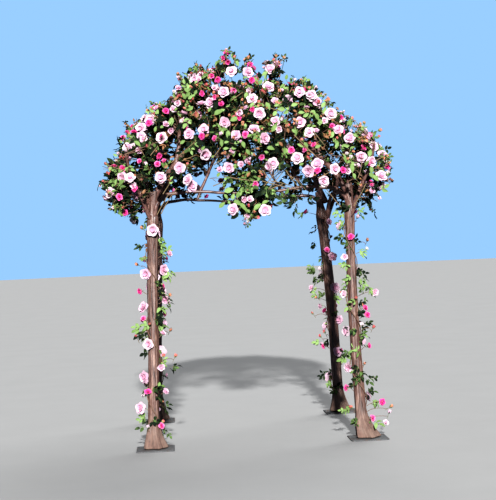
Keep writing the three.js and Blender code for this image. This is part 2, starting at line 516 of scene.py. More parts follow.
class Batch:
    """Copies of templates that end up in one mesh."""

    def __init__(self, name: str, finishes: Sequence[Material]) -> None:
        """Starts an empty batch.

        Args:
            name: The name of the piece that it becomes.
            finishes: The material of each slot.
        """
        self.name = name
        self.finishes = finishes
        self.copies: list[tuple[Template, np.ndarray, float]] = []

    def stamp(self, template: Template, matrix: np.ndarray, tone: float) -> None:
        """Adds one copy of a template.

        Args:
            template: The shape.
            matrix: Where it goes.
            tone: The copy's own shade, from 0 to 1.
        """
        points = template.points @ matrix[:3, :3].T + matrix[:3, 3]
        self.copies.append((template, points, tone))

    def joined(self, name: str) -> np.ndarray:
        """One array of every copy's template, end to end."""
        return np.concatenate([getattr(copy[0], name) for copy in self.copies])

    def build(self) -> Piece | None:
        """Makes the mesh.

        Returns:
            The object, or None if nothing was stamped.
        """
        if not self.copies:
            return None
        templates, places, tones = zip(*self.copies)
        counts = [len(points) for points in places]
        starts = np.cumsum([0, *counts[:-1]])
        corners = [shape.corners + start for shape, start in zip(templates, starts)]
        sizes = self.joined("sizes")
        mesh = bpy.data.meshes.new(self.name)
        mesh.vertices.add(sum(counts))
        mesh.vertices.foreach_set("co", np.concatenate(places).ravel())
        mesh.loops.add(int(sizes.sum()))
        mesh.loops.foreach_set("vertex_index", np.concatenate(corners))
        mesh.polygons.add(len(sizes))
        mesh.polygons.foreach_set("loop_start", np.concatenate(([0], np.cumsum(sizes)[:-1])))
        mesh.polygons.foreach_set("material_index", self.joined("slots"))
        mesh.polygons.foreach_set("use_smooth", np.ones(len(sizes), bool))
        mesh.uv_layers.new(name="UVMap").uv.foreach_set("vector", self.joined("uvs").ravel())
        shades = {"layer": self.joined("layers"), "tone": np.repeat(tones, counts)}
        for name, values in shades.items():
            mesh.attributes.new(name, "FLOAT", "POINT").data.foreach_set("value", values)
        for finish in self.finishes:
            mesh.materials.append(finish)
        mesh.update(calc_edges=True)
        mesh.validate()
        return new_object(self.name, mesh)


def settle(piece: Piece | None, nodes: Iterable[str] = ()) -> None:
    """Makes a finished piece ride on the body and hides the nodes that it stands for.

    Args:
        piece: The piece, or None where there is nothing to settle.
        nodes: The nodes that it stands for.
    """
    if piece is None:
        return
    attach(piece, BODY)
    for node in nodes:
        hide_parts(node)
    log.info("%s: %d faces", piece.name, len(piece.data.polygons))


# Finishes


class Shader:
    """A node tree being made, with short ways to add and join nodes."""

    def __init__(self, tree: bpy.types.NodeTree) -> None:
        """Takes the node tree to work in."""
        self.tree = tree

    def put(self, socket: Socket, value: object) -> None:
        """Sets or links one input.

        Args:
            socket: The input.
            value: A socket to link from, a number, or a colour as red, green and blue.
        """
        if isinstance(value, Socket):
            self.tree.links.new(value, socket)
        else:
            socket.default_value = (*value, 1.0) if isinstance(value, tuple) else value

    def add(self, kind: str, **values: object) -> Node:
        """Adds a node and sets its own values.

        Args:
            kind: The node's type, without its ShaderNode beginning.
            **values: Attributes of the node, set by name.

        Returns:
            The node.
        """
        node = self.tree.nodes.new("ShaderNode" + kind)
        for name, value in values.items():
            setattr(node, name, value)
        return node

    def feed(self, node: Node, **inputs: object) -> Node:
        """Sets or links a node's inputs, named with _ for a space.

        Args:
            node: The node.
            **inputs: A socket to link from, or a value.

        Returns:
            The same node.
        """
        for name, value in inputs.items():
            self.put(node.inputs[name.replace("_", " ")], value)
        return node

    def math(self, operation: str, *inputs: object) -> Socket:
        """A math node's result.

        Args:
            operation: What it does with its inputs.
            *inputs: A number or a socket for each.

        Returns:
            The value socket.
        """
        node = self.add("Math", operation=operation)
        for socket, value in zip(node.inputs, inputs):
            self.put(socket, value)
        return node.outputs[0]

    def mix(self, share: object, first: object, second: object) -> Socket:
        """A mix of two colours.

        Args:
            share: How much of the second, from 0 to 1.
            first: The first colour, as a socket or as red, green and blue.
            second: The second colour.

        Returns:
            The colour socket.
        """
        node = self.add("Mix", data_type="RGBA")
        for number, value in zip((0, 6, 7), (share, first, second)):
            self.put(node.inputs[number], value)
        return node.outputs[2]

    def between(self, value: object, low: float, high: float) -> Socket:
        """Where a value lies between two others, from 0 to 1."""
        node = self.add("MapRange", interpolation_type="SMOOTHSTEP")
        return self.feed(node, Value=value, From_Min=low, From_Max=high).outputs[0]

    def place(self) -> Socket:
        """The place in the piece's own coordinates."""
        return self.add("TexCoord").outputs["Object"]

    def split(self, spot: Socket | None = None) -> Sequence[Socket]:
        """The X, Y and Z of a place, or of the UV map."""
        spot = self.add("UVMap").outputs[0] if spot is None else spot
        return self.feed(self.add("SeparateXYZ"), Vector=spot).outputs

    def attribute(self, name: str) -> Socket:
        """The value of one of the mesh's own attributes."""
        return self.add("Attribute", attribute_name=name).outputs["Fac"]

    def group(self, group: bpy.types.NodeTree, **inputs: object) -> Node:
        """Places a shared node group.

        Args:
            group: The group.
            **inputs: Its inputs, named with _ for a space.

        Returns:
            The group node.
        """
        node = self.add("Group")
        node.node_tree = group
        return self.feed(node, **inputs)

    def mottle(self, scale: float, low: float, high: float) -> Socket:
        """Soft cloudy patches."""
        return self.group(EFFECTS.mottle, Scale=scale, Low=low, High=high).outputs[0]


def new_group(
    name: str, inputs: dict[str, float], outputs: Sequence[str]
) -> tuple[Shader, Sequence[Socket], Node]:
    """An empty shader node group whose sockets are named numbers.

    Args:
        name: The group's name.
        inputs: Each number that it takes, and its usual value.
        outputs: Each number that it gives.

    Returns:
        A shader to work in it, the sockets of its inputs, and its output node.
    """
    tree = bpy.data.node_groups.new(name, "ShaderNodeTree")
    kind = "NodeSocketFloat"
    for socket, value in inputs.items():
        made = tree.interface.new_socket(socket, in_out="INPUT", socket_type=kind)
        made.default_value = value
    for socket in outputs:
        tree.interface.new_socket(socket, in_out="OUTPUT", socket_type=kind)
    entry = tree.nodes.new("NodeGroupInput").outputs
    return Shader(tree), entry, tree.nodes.new("NodeGroupOutput")


def mottle_group() -> bpy.types.NodeTree:
    """Soft cloudy variation in the piece's own place, for every finish.

    Returns:
        The group.
    """
    shader, entry, leave = new_group("mottle", {"Scale": 30.0, "Low": 0.3, "High": 0.7}, ["Mask"])
    cloud = shader.add("TexNoise")
    shader.feed(cloud, Vector=shader.place(), Scale=entry["Scale"], Detail=4.0, Roughness=0.6)
    shade = shader.add("MapRange")
    shader.feed(shade, Value=cloud.outputs[0], From_Min=entry["Low"], From_Max=entry["High"])
    shader.feed(leave, Mask=shade.outputs[0])
    return shader.tree


def streak_group() -> bpy.types.NodeTree:
    """Long upright streaks, as bark has, for the trunks and the boughs.

    Returns:
        The group.
    """
    sizes = {"Scale": 55.0, "Stretch": 0.09}
    shader, entry, leave = new_group("streaks", sizes, ["Mask", "Height"])
    x, y, z = shader.split(shader.place())
    stretched = shader.feed(
        shader.add("CombineXYZ"), X=x, Y=y, Z=shader.math("MULTIPLY", z, entry["Stretch"])
    ).outputs[0]
    broad = shader.feed(
        shader.add("TexNoise"), Vector=stretched, Scale=entry["Scale"], Detail=5.0, Roughness=0.65
    )
    finer = shader.math("MULTIPLY", entry["Scale"], 4.5)
    fine = shader.feed(
        shader.add("TexNoise"), Vector=stretched, Scale=finer, Detail=3.0, Roughness=0.7
    )
    height = shader.math("MULTIPLY_ADD", fine.outputs[0], 0.35, broad.outputs[0])
    shader.feed(leave, Mask=shader.between(height, 0.42, 0.92), Height=height)
    return shader.tree


def vein_group() -> bpy.types.NodeTree:
    """Veins that run from a petal's or a leaf's middle line to its edge, from its UV map.

    Returns:
        The group.
    """
    sizes = {"Count": 9.0, "Slant": 0.6, "Sharpness": 3.0}
    shader, entry, leave = new_group("veins", sizes, ["Rib", "Veins"])
    across, along, _ = shader.split()
    from_rib = shader.math("ABSOLUTE", shader.math("SUBTRACT", across, 0.5))
    slanted = shader.math("MULTIPLY", from_rib, entry["Slant"])
    turns = shader.math("MULTIPLY", shader.math("SUBTRACT", along, slanted), entry["Count"])
    wave = shader.math("SINE", shader.math("MULTIPLY", turns, 2 * math.pi))
    raised = shader.math("MULTIPLY_ADD", wave, 0.5, 0.5)
    rib = shader.math("SUBTRACT", 1.0, shader.between(from_rib, 0.0, 0.09))
    shader.feed(leave, Rib=rib, Veins=shader.math("POWER", raised, entry["Sharpness"]))
    return shader.tree


@dataclass(frozen=True)
class SharedEffects:
    """The node groups that several finishes use."""

    mottle: bpy.types.NodeTree = field(default_factory=mottle_group)
    streaks: bpy.types.NodeTree = field(default_factory=streak_group)
    veins: bpy.types.NodeTree = field(default_factory=vein_group)


EFFECTS = SharedEffects()


class Skin(Shader):
    """A material with one Principled shader."""

    def __init__(self, name: str) -> None:
        """Makes the bare material.

        Args:
            name: The material's name.
        """
        self.material = bpy.data.materials.new(name)
        self.material.use_nodes = True
        super().__init__(self.material.node_tree)
        self.principled = self.tree.nodes["Principled BSDF"]

    def dress(self, **inputs: object) -> None:
        """Sets or links inputs of the Principled shader, named with _ for a space."""
        self.feed(self.principled, **inputs)

    def raised(self, height: Socket, depth: float, strength: float) -> Material:
        """Raises the surface's grain.

        Args:
            height: The grain's height.
            depth: How deep it is, in metres.
            strength: How strongly it shows, from 0 to 1.

        Returns:
            The material.
        """
        bump = self.feed(self.add("Bump"), Height=height, Distance=depth, Strength=strength)
        self.dress(Normal=bump.outputs[0])
        return self.material


@dataclass(frozen=True)
class BarkFinish:
    """Bark with long upright streaks, greyer and duller towards the roots."""

    name: str
    dark: Colour
    middle: Colour
    light: Colour
    root: Colour
    root_top: float = 0.42
    scale: float = 55.0
    stretch: float = 0.09
    relief: float = 0.004
    roughness: float = 0.32
    gloss: float = 0.8
    varnish: float = 0.25
    root_dulling: float = 0.5

    def make(self) -> Material:
        """Builds the material.

        Returns:
            The material.
        """
        skin = Skin(self.name)
        streaks = skin.group(EFFECTS.streaks, Scale=self.scale, Stretch=self.stretch).outputs
        patches = skin.mottle(9.0, 0.35, 0.68)
        lower, upper = (skin.between(streaks["Mask"], low, low + 0.5) for low in (0.0, 0.5))
        colour = skin.mix(lower, self.dark, self.middle)
        colour = skin.mix(skin.math("MULTIPLY", upper, patches), colour, self.light)
        height = skin.split(skin.place())[2]
        above_root = skin.between(height, 0.0, self.root_top)
        near_root = skin.math("SUBTRACT", 1.0, above_root)
        greyed = skin.math("MULTIPLY", near_root, skin.math("ADD", patches, 0.25))
        colour = skin.mix(greyed, colour, self.root)
        rough = skin.math("MULTIPLY_ADD", streaks["Mask"], 0.2, self.roughness)
        rough = skin.math("MULTIPLY_ADD", near_root, self.root_dulling, rough)
        skin.dress(Base_Color=colour, Roughness=rough, Specular_IOR_Level=self.gloss)
        varnish = skin.math("MULTIPLY", above_root, self.varnish)
        skin.dress(Coat_Weight=varnish, Coat_Roughness=0.4)
        return skin.raised(streaks["Height"], self.relief, 0.9)


@dataclass(frozen=True)
class SawnFinish:
    """Sawn end grain with growth rings round the trunk's axis."""

    name: str
    light: Colour
    dark: Colour
    ring: float = 0.004

    def make(self) -> Material:
        """Builds the material.

        Returns:
            The material.
        """
        skin = Skin(self.name)
        waves = skin.add("TexWave", wave_type="RINGS", rings_direction="Z")
        skin.feed(waves, Vector=skin.place(), Scale=1 / (self.ring * 20), Distortion=3.0, Detail=2.0)
        blur = skin.math("ADD", skin.mottle(120.0, 0.3, 0.7), 0.4)
        rings = skin.math("MULTIPLY", waves.outputs[1], blur)
        skin.dress(Base_Color=skin.mix(rings, self.light, self.dark), Roughness=0.85)
        return skin.raised(rings, 0.001, 0.5)


@dataclass(frozen=True)
class PetalFinish:
    """Silk-like petals: deeper at the heart, paler and slightly veined towards the rim."""

    name: str
    heart: Colour
    body: Colour
    rim: Colour
    second_rim: Colour
    roughness: float = 0.55

    def make(self) -> Material:
        """Builds the material.

        Returns:
            The material.
        """
        skin = Skin(self.name)
        veins = skin.group(EFFECTS.veins, Count=1.0, Slant=9.0, Sharpness=2.0).outputs["Veins"]
        cloud = skin.mottle(70.0, 0.35, 0.7)
        second = skin.between(skin.attribute("tone"), 0.35, 0.85)
        rim = skin.mix(second, self.rim, self.second_rim)
        out = skin.math("MULTIPLY_ADD", skin.attribute("layer"), 0.62, 0.12)
        out = skin.math("MULTIPLY_ADD", skin.split()[1], 0.38, out)
        colour = skin.mix(skin.between(out, 0.15, 0.62), self.heart, self.body)
        colour = skin.mix(skin.between(out, 0.5, 0.95), colour, rim)
        deepen = skin.math("MULTIPLY", skin.math("ADD", veins, cloud), 0.12)
        colour = skin.mix(deepen, colour, self.body)
        skin.dress(Base_Color=colour, Roughness=self.roughness)
        skin.dress(Sheen_Weight=0.25, Sheen_Roughness=0.4)
        return skin.raised(veins, 0.0006, 0.35)


@dataclass(frozen=True)
class LeafFinish:
    """Printed cloth leaves: old deep green, darkened to near black as painted shade, to young yellow-green
    and copper shoots, with veins.
    """

    name: str
    young: Colour
    middle: Colour
    # The dark end is near black: painted shade for leaves deep in the dome, as well as the deep green of
    # old leaves.
    old_and_shaded: Colour
    rib: Colour
    blush: Colour
    shoot: Colour

    def make(self) -> Material:
        """Builds the material.

        Returns:
            The material.
        """
        skin = Skin(self.name)
        tone = skin.attribute("tone")
        veins = skin.group(EFFECTS.veins, Count=7.0, Slant=0.9, Sharpness=6.0).outputs
        own = skin.math("MULTIPLY", skin.math("SUBTRACT", skin.attribute("layer"), 0.35), 0.36)
        # The low end of this ramp is painted shade: near-black leaves under the cover and inside the dome.
        age_and_shade = skin.math("ADD", tone, own)
        age_and_shade = skin.math("MULTIPLY_ADD", skin.mottle(45.0, 0.3, 0.7), 0.18, age_and_shade)
        colour = skin.mix(skin.between(age_and_shade, 0.2, 0.65), self.old_and_shaded, self.middle)
        colour = skin.mix(skin.between(age_and_shade, 0.6, 1.1), colour, self.young)
        lines = skin.math("MAXIMUM", veins["Rib"], veins["Veins"])
        grown = skin.math("MULTIPLY_ADD", skin.between(tone, 0.15, 0.75), 0.34, 0.015)
        colour = skin.mix(skin.math("MULTIPLY", lines, grown), colour, self.rib)
        tip = skin.between(skin.split()[1], 0.8, 1.0)
        reddened = skin.math("MULTIPLY", tip, skin.between(tone, 0.7, 1.0))
        colour = skin.mix(skin.math("MULTIPLY", reddened, 0.6), colour, self.blush)
        colour = skin.mix(skin.between(tone, 0.955, 0.985), colour, self.shoot)
        rough = skin.math("MULTIPLY_ADD", tone, -0.4, 0.85)
        skin.dress(Base_Color=colour, Roughness=rough, Specular_IOR_Level=0.22)
        return skin.raised(lines, 0.0008, 0.6)


@dataclass(frozen=True)
class StemFinish:
    """Thin stems, green with a reddish or brown cast."""

    name: str
    first: Colour
    second: Colour

    def make(self) -> Material:
        """Builds the material.

        Returns:
            The material.
        """
        skin = Skin(self.name)
        fine = skin.mottle(160.0, 0.3, 0.7)
        colour = skin.mix(skin.mottle(14.0, 0.35, 0.65), self.first, self.second)
        darker = tuple(0.45 * part for part in self.first)
        colour = skin.mix(skin.math("MULTIPLY", fine, 0.4), colour, darker)
        skin.dress(Base_Color=colour, Roughness=0.6, Specular_IOR_Level=0.25)
        return skin.raised(fine, 0.0008, 0.5)


@dataclass(frozen=True)
class SteelFinish:
    """Painted grey steel plate with scuffs and a little rust."""

    name: str
    paint: Colour
    scuff: Colour
    rust: Colour

    def make(self) -> Material:
        """Builds the material.

        Returns:
            The material.
        """
        skin = Skin(self.name)
        rust = skin.mottle(17.0, 0.52, 0.72)
        colour = skin.mix(skin.mottle(60.0, 0.45, 0.75), self.paint, self.scuff)
        colour = skin.mix(skin.math("MULTIPLY", rust, 0.75), colour, self.rust)
        skin.dress(
            Base_Color=colour,
            Metallic=skin.math("MULTIPLY_ADD", rust, -0.1, 0.1),
            Roughness=skin.math("MULTIPLY_ADD", rust, 0.35, 0.65),
            Specular_IOR_Level=0.2,
        )
        return skin.raised(skin.mottle(320.0, 0.3, 0.7), 0.0006, 0.4)


BARK = BarkFinish(
    "bark", (0.018, 0.008, 0.007), (0.150, 0.074, 0.056), (0.56, 0.35, 0.27), (0.24, 0.155, 0.12)
)
BOUGH_BARK = BarkFinish(
    "bough_bark",
    (0.022, 0.010, 0.010),
    (0.165, 0.078, 0.062),
    (0.44, 0.26, 0.20),
    (0.16, 0.08, 0.065),
    scale=80.0,
    stretch=0.4,
    relief=0.002,
)
SAWN_WOOD = SawnFinish("sawn_wood", (0.40, 0.25, 0.17), (0.16, 0.08, 0.05))
PALE_PETAL = PetalFinish(
    "pale_petal", (0.80, 0.33, 0.50), (0.83, 0.49, 0.64), (0.83, 0.58, 0.70), (0.86, 0.72, 0.77)
)
HOT_PETAL = PetalFinish(
    "hot_petal", (0.66, 0.006, 0.15), (0.82, 0.028, 0.29), (0.86, 0.11, 0.42), (0.88, 0.26, 0.55)
)
CORAL_PETAL = PetalFinish(
    "coral_petal", (0.48, 0.08, 0.05), (0.60, 0.18, 0.10), (0.72, 0.33, 0.19), (0.74, 0.14, 0.17)
)
LEAF = LeafFinish(
    "leaf",
    young=(0.30, 0.47, 0.16),
    middle=(0.16, 0.27, 0.075),
    # Near black: painted shade, as well as the deep green of old leaves.
    old_and_shaded=(0.0035, 0.012, 0.0045),
    rib=(0.34, 0.46, 0.18),
    blush=(0.40, 0.10, 0.06),
    shoot=(0.33, 0.16, 0.075),
)
STEM = StemFinish("green_stem", (0.16, 0.24, 0.06), (0.30, 0.14, 0.07))
TWIG = StemFinish("brown_twig", (0.15, 0.078, 0.055), (0.33, 0.21, 0.14))
PALE_STEM = StemFinish("pale_stem", (0.27, 0.21, 0.09), (0.40, 0.26, 0.17))
STEEL = SteelFinish("steel", (0.12, 0.123, 0.125), (0.23, 0.233, 0.235), (0.16, 0.07, 0.03))


@dataclass(frozen=True)
class Finishes:
    """Every finish of the arch, made once."""

    bark: Material = field(default_factory=BARK.make)
    bough: Material = field(default_factory=BOUGH_BARK.make)
    sawn: Material = field(default_factory=SAWN_WOOD.make)
    pale: Material = field(default_factory=PALE_PETAL.make)
    hot: Material = field(default_factory=HOT_PETAL.make)
    coral: Material = field(default_factory=CORAL_PETAL.make)
    leaf: Material = field(default_factory=LEAF.make)
    stem: Material = field(default_factory=STEM.make)
    twig: Material = field(default_factory=TWIG.make)
    pale_stem: Material = field(default_factory=PALE_STEM.make)
    steel: Material = field(default_factory=STEEL.make)

    @property
    def blooms(self) -> tuple[Material, ...]:
        """The finishes of the slots of a piece that holds flowers."""
        return self.pale, self.hot, self.coral, self.leaf, self.stem

    @property
    def foliage(self) -> tuple[Material, ...]:
        """The finishes of the slots of a piece that holds leaves."""
        return self.leaf, self.stem


# Posts


@dataclass
class FootPlate:
    """A thin square steel plate with eased corners and edges under one trunk."""

    corner: Corner
    finishes: Finishes
    corner_radius: float = 0.014
    edge_radius: float = 0.0015

    def build(self) -> None:
        """Models the plate and settles it."""
        deselect()
        foot, half = POSTS.half_spacing, POSTS.plate_thickness / 2
        bpy.ops.mesh.primitive_cube_add(size=1, location=self.corner.place((foot, foot, half)))
        plate = bpy.context.active_object
        plate.name = "plate_" + self.corner.label
        plate.scale = (POSTS.plate_side, POSTS.plate_side, POSTS.plate_thickness)
        bpy.ops.object.transform_apply(location=True, rotation=True, scale=True)
        bpy.ops.object.mode_set(mode="EDIT")
        bpy.ops.mesh.select_mode(type="EDGE")
        bpy.ops.mesh.select_all(action="DESELECT")
        bpy.ops.object.mode_set(mode="OBJECT")
        for edge in plate.data.edges:
            low, high = (plate.data.vertices[i].co for i in edge.vertices)
            edge.select = abs(low.z - high.z) > half
        bpy.ops.object.mode_set(mode="EDIT")
        bpy.ops.mesh.bevel(offset=self.corner_radius, segments=4, affect="EDGES")
        bpy.ops.mesh.select_mode(type="VERT")
        bpy.ops.object.mode_set(mode="OBJECT")
        eased = plate.modifiers.new("eased", "BEVEL")
        eased.width = self.edge_radius
        eased.segments = 2
        apply_modifiers(plate)
        shade_smooth_by_angle(plate, 35)
        plate.data.materials.append(self.finishes.steel)
        settle(plate, ["foot_plate_" + self.corner.label])


@dataclass
class Trunk:
    """One bark-covered trunk with ridged roots, a fork and a sawn leader."""

    corner: Corner
    finishes: Finishes
    sides: int = 28
    rings: tuple[float, ...] = (
        0.0083, 0.03, 0.06, 0.095, 0.13, 0.175, 0.22, 0.275, 0.33, 0.42, 0.55, 0.7, 0.85, 1.0,
        1.15, 1.3, 1.45, 1.6, 1.72, 1.82, 1.88, 1.93, 1.97, 2.0, 2.03, 2.08, 2.13, 2.175,
    )  # fmt: skip
    streak_depth: float = 0.0042
    root_depth: float = 0.008
    streaks_round: float = 3.6
    streak_length: float = 1.7
    top_inset: float = 0.003

    def blank(self) -> Piece:
        """A stack of extruded rings, one unit apart, closed at both ends.

        Returns:
            The stack.
        """
        deselect()
        bpy.ops.mesh.primitive_circle_add(vertices=self.sides, radius=1, fill_type="NGON")
        piece = bpy.context.active_object
        piece.name = "trunk_bark_" + self.corner.label
        bpy.ops.object.mode_set(mode="EDIT")
        for _ in self.rings[1:]:
            bpy.ops.mesh.extrude_region_move(TRANSFORM_OT_translate={"value": (0, 0, 1)})
        bpy.ops.mesh.inset(thickness=self.top_inset / POSTS.leader_radius)
        bpy.ops.mesh.select_all(action="SELECT")
        bpy.ops.mesh.normals_make_consistent(inside=False)
        bpy.ops.object.mode_set(mode="OBJECT")
        return piece

    def shaped(self, point: Vector) -> Vector:
        """Where a point of the blank goes on the leaning, flared trunk.

        Args:
            point: The point.

        Returns:
            Its new place.
        """
        z = self.rings[min(len(self.rings) - 1, round(point.z))]
        turn = math.atan2(point.y, point.x)
        out = math.hypot(point.x, point.y) * POSTS.radius(self.corner, z, turn)
        return POSTS.axis(self.corner, z) + Vector((out * math.cos(turn), out * math.sin(turn), 0))

    def barked(self, point: Vector) -> Vector:
        """A point moved in or out by the bark's long streaks and the roots' gnarls.

        Args:
            point: The point.

        Returns:
            Its new place.
        """
        axis = POSTS.axis(self.corner, point.z)
        away = Vector((point.x - axis.x, point.y - axis.y, 0))
        if away.length < 0.6 * POSTS.leader_radius:
            return point
        turn = math.atan2(away.y, away.x)
        ring = Vector((math.cos(turn), math.sin(turn), 0)) * self.streaks_round
        spot = ring + UP * (point.z * self.streak_length + 7 * self.corner.phase)
        streak = noise.fractal(spot, 0.8, 2.1, 4)
        lump = noise.noise(ring * 0.35 + UP * (point.z * 5.0 + self.corner.phase))
        near_root = POSTS.root(point.z)
        depth = self.streak_depth * streak + 0.5 * self.streak_depth * lump
        depth += self.root_depth * near_root * noise.fractal(spot * 0.8, 0.8, 2.0, 2)
        return point + away.normalized() * depth

    def build(self) -> None:
        """Models the trunk and settles it."""
        piece = self.blank()
        move_points(piece, self.shaped)
        smooth = piece.modifiers.new("smooth", "SUBSURF")
        smooth.levels = smooth.render_levels = 2
        apply_modifiers(piece)
        move_points(piece, self.barked)
        shade_smooth_by_angle(piece, 50)
        piece.data.materials.append(self.finishes.bark)
        piece.data.materials.append(self.finishes.sawn)
        top = POSTS.leader_top - self.top_inset
        for face in piece.data.polygons:
            if face.center.z > top and face.normal.z > 0.9:
                face.material_index = 1
        settle(piece, ["trunk_" + self.corner.label])


# Boughs and twigs


@dataclass(frozen=True)
class Limb:
    """One branch: the points it runs through and its radius at both ends."""

    route: tuple[Vector, ...]
    start_radius: float
    end_radius: float

    def at(self, share: float) -> Vector:
        """The point a share of the way along, from 0 to 1.

        Args:
            share: The share.

        Returns:
            The point.
        """
        place = share * (len(self.route) - 1)
        index = min(int(place), len(self.route) - 2)
        return self.route[index].lerp(self.route[index + 1], place - index)


def tubes(name: str, limbs: Sequence[Limb], finish: Material, fineness: int) -> Piece:
    """Round tapering tubes along limbs, as one mesh.

    Args:
        name: The piece's name.
        limbs: The branches.
        finish: Their material.
        fineness: The curve's bevel resolution, 0 for four sides.

    Returns:
        The mesh object.
    """
    curve = bpy.data.curves.new(name, "CURVE")
    curve.dimensions = "3D"
    curve.bevel_depth = 1.0
    curve.bevel_resolution = fineness
    curve.use_fill_caps = True
    curve.resolution_u = 3
    for limb in limbs:
        spline = curve.splines.new("NURBS")
        spline.points.add(len(limb.route) - 1)
        for i, (point, place) in enumerate(zip(spline.points, limb.route)):
            share = i / (len(limb.route) - 1)
            point.co = (*place, 1.0)
            point.radius = limb.start_radius + (limb.end_radius - limb.start_radius) * share
        spline.order_u = min(4, len(limb.route))
        spline.use_endpoint_u = True
    choose(new_object(name, curve))
    bpy.ops.object.convert(target="MESH")
    piece = bpy.context.active_object
    piece.name = name
    piece.data.materials.clear()
    piece.data.materials.append(finish)
    piece.data.polygons.foreach_set("use_smooth", [True] * len(piece.data.polygons))
    return piece


@dataclass(frozen=True)
class Branch:
    """A bough of the tree at +X +Y: its points, and its radius at both ends, in metres."""

    points: Sequence[tuple[float, float, float]]
    radii: Pair


SPAN = (
    Branch(
        (
            (0.845, 0.845, 1.90), (0.80, 0.862, 2.06), (0.715, 0.88, 2.14), (0.50, 0.89, 2.158),
            (0.30, 0.895, 2.138), (0.0, 0.90, 2.12),
        ),
        (0.021, 0.009),
    ),
    Branch(((0.43, 0.891, 2.152), (0.37, 0.897, 2.27), (0.29, 0.915, 2.42)), (0.014, 0.008)),
)  # fmt: skip
BRANCHES: dict[str, tuple[Branch, ...]] = {
    "span": SPAN,
    "side": SPAN,
    "crown": (
        Branch(
            (
                (0.835, 0.835, 2.08), (0.72, 0.735, 2.305), (0.52, 0.54, 2.54),
                (0.285, 0.31, 2.745), (0.095, 0.11, 2.92),
            ),
            (0.027, 0.014),
        ),
        Branch(((0.625, 0.645, 2.42), (0.59, 0.60, 2.57), (0.57, 0.55, 2.735)), (0.021, 0.013)),
    ),
    "outer": (
        Branch(
            ((0.845, 0.845, 1.905), (0.91, 0.905, 2.08), (0.99, 0.985, 2.26), (1.04, 1.05, 2.48)),
            (0.020, 0.011),
        ),
    ),
}  # fmt: skip


@dataclass
class Boughs:
    """The boughs of one tree."""

    corner: Corner
    finishes: Finishes
    wander: float = 0.012
    stretches: int = 4

    def limb(self, branch: Branch, swap: bool) -> Limb:
        """A bough, with a few natural wanderings added between its points.

        Args:
            branch: The bough of the tree at +X +Y.
            swap: Whether it runs along the side of the arch instead of the front.

        Returns:
            The limb.
        """
        corners = [self.corner.place(point, swap) for point in branch.points]
        points: list[Vector] = []
        for first, second in zip(corners, corners[1:]):
            for i in range(self.stretches):
                point = first.lerp(second, i / self.stretches)
                stray = noise.noise_vector(point * 6 + UP * self.corner.phase)
                points.append(point + stray * self.wander)
        return Limb((*points, corners[-1]), *branch.radii)

    def build(self) -> list[Limb]:
        """Models the boughs and settles them.

        Returns:
            All their limbs.
        """
        made: list[Limb] = []
        for kind, branches in BRANCHES.items():
            limbs = [self.limb(branch, kind == "side") for branch in branches]
            node = f"{kind}_bough_{self.corner.label}"
            settle(tubes("bark_" + node, limbs, self.finishes.bough, 3), [node])
            made += limbs
        return made


# The surface that the foliage grows on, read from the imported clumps


@dataclass(frozen=True)
class Spot:
    """A place on the foliage: its node, its point and the direction away from the clump."""

    node: str
    point: Vector
    normal: Vector


FOLIAGE_NODES = tuple(
    sorted(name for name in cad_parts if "foliage" in name or "cluster" in name)
)
DOME_MIDDLE = Vector((0.0, 0.0, 2.2))


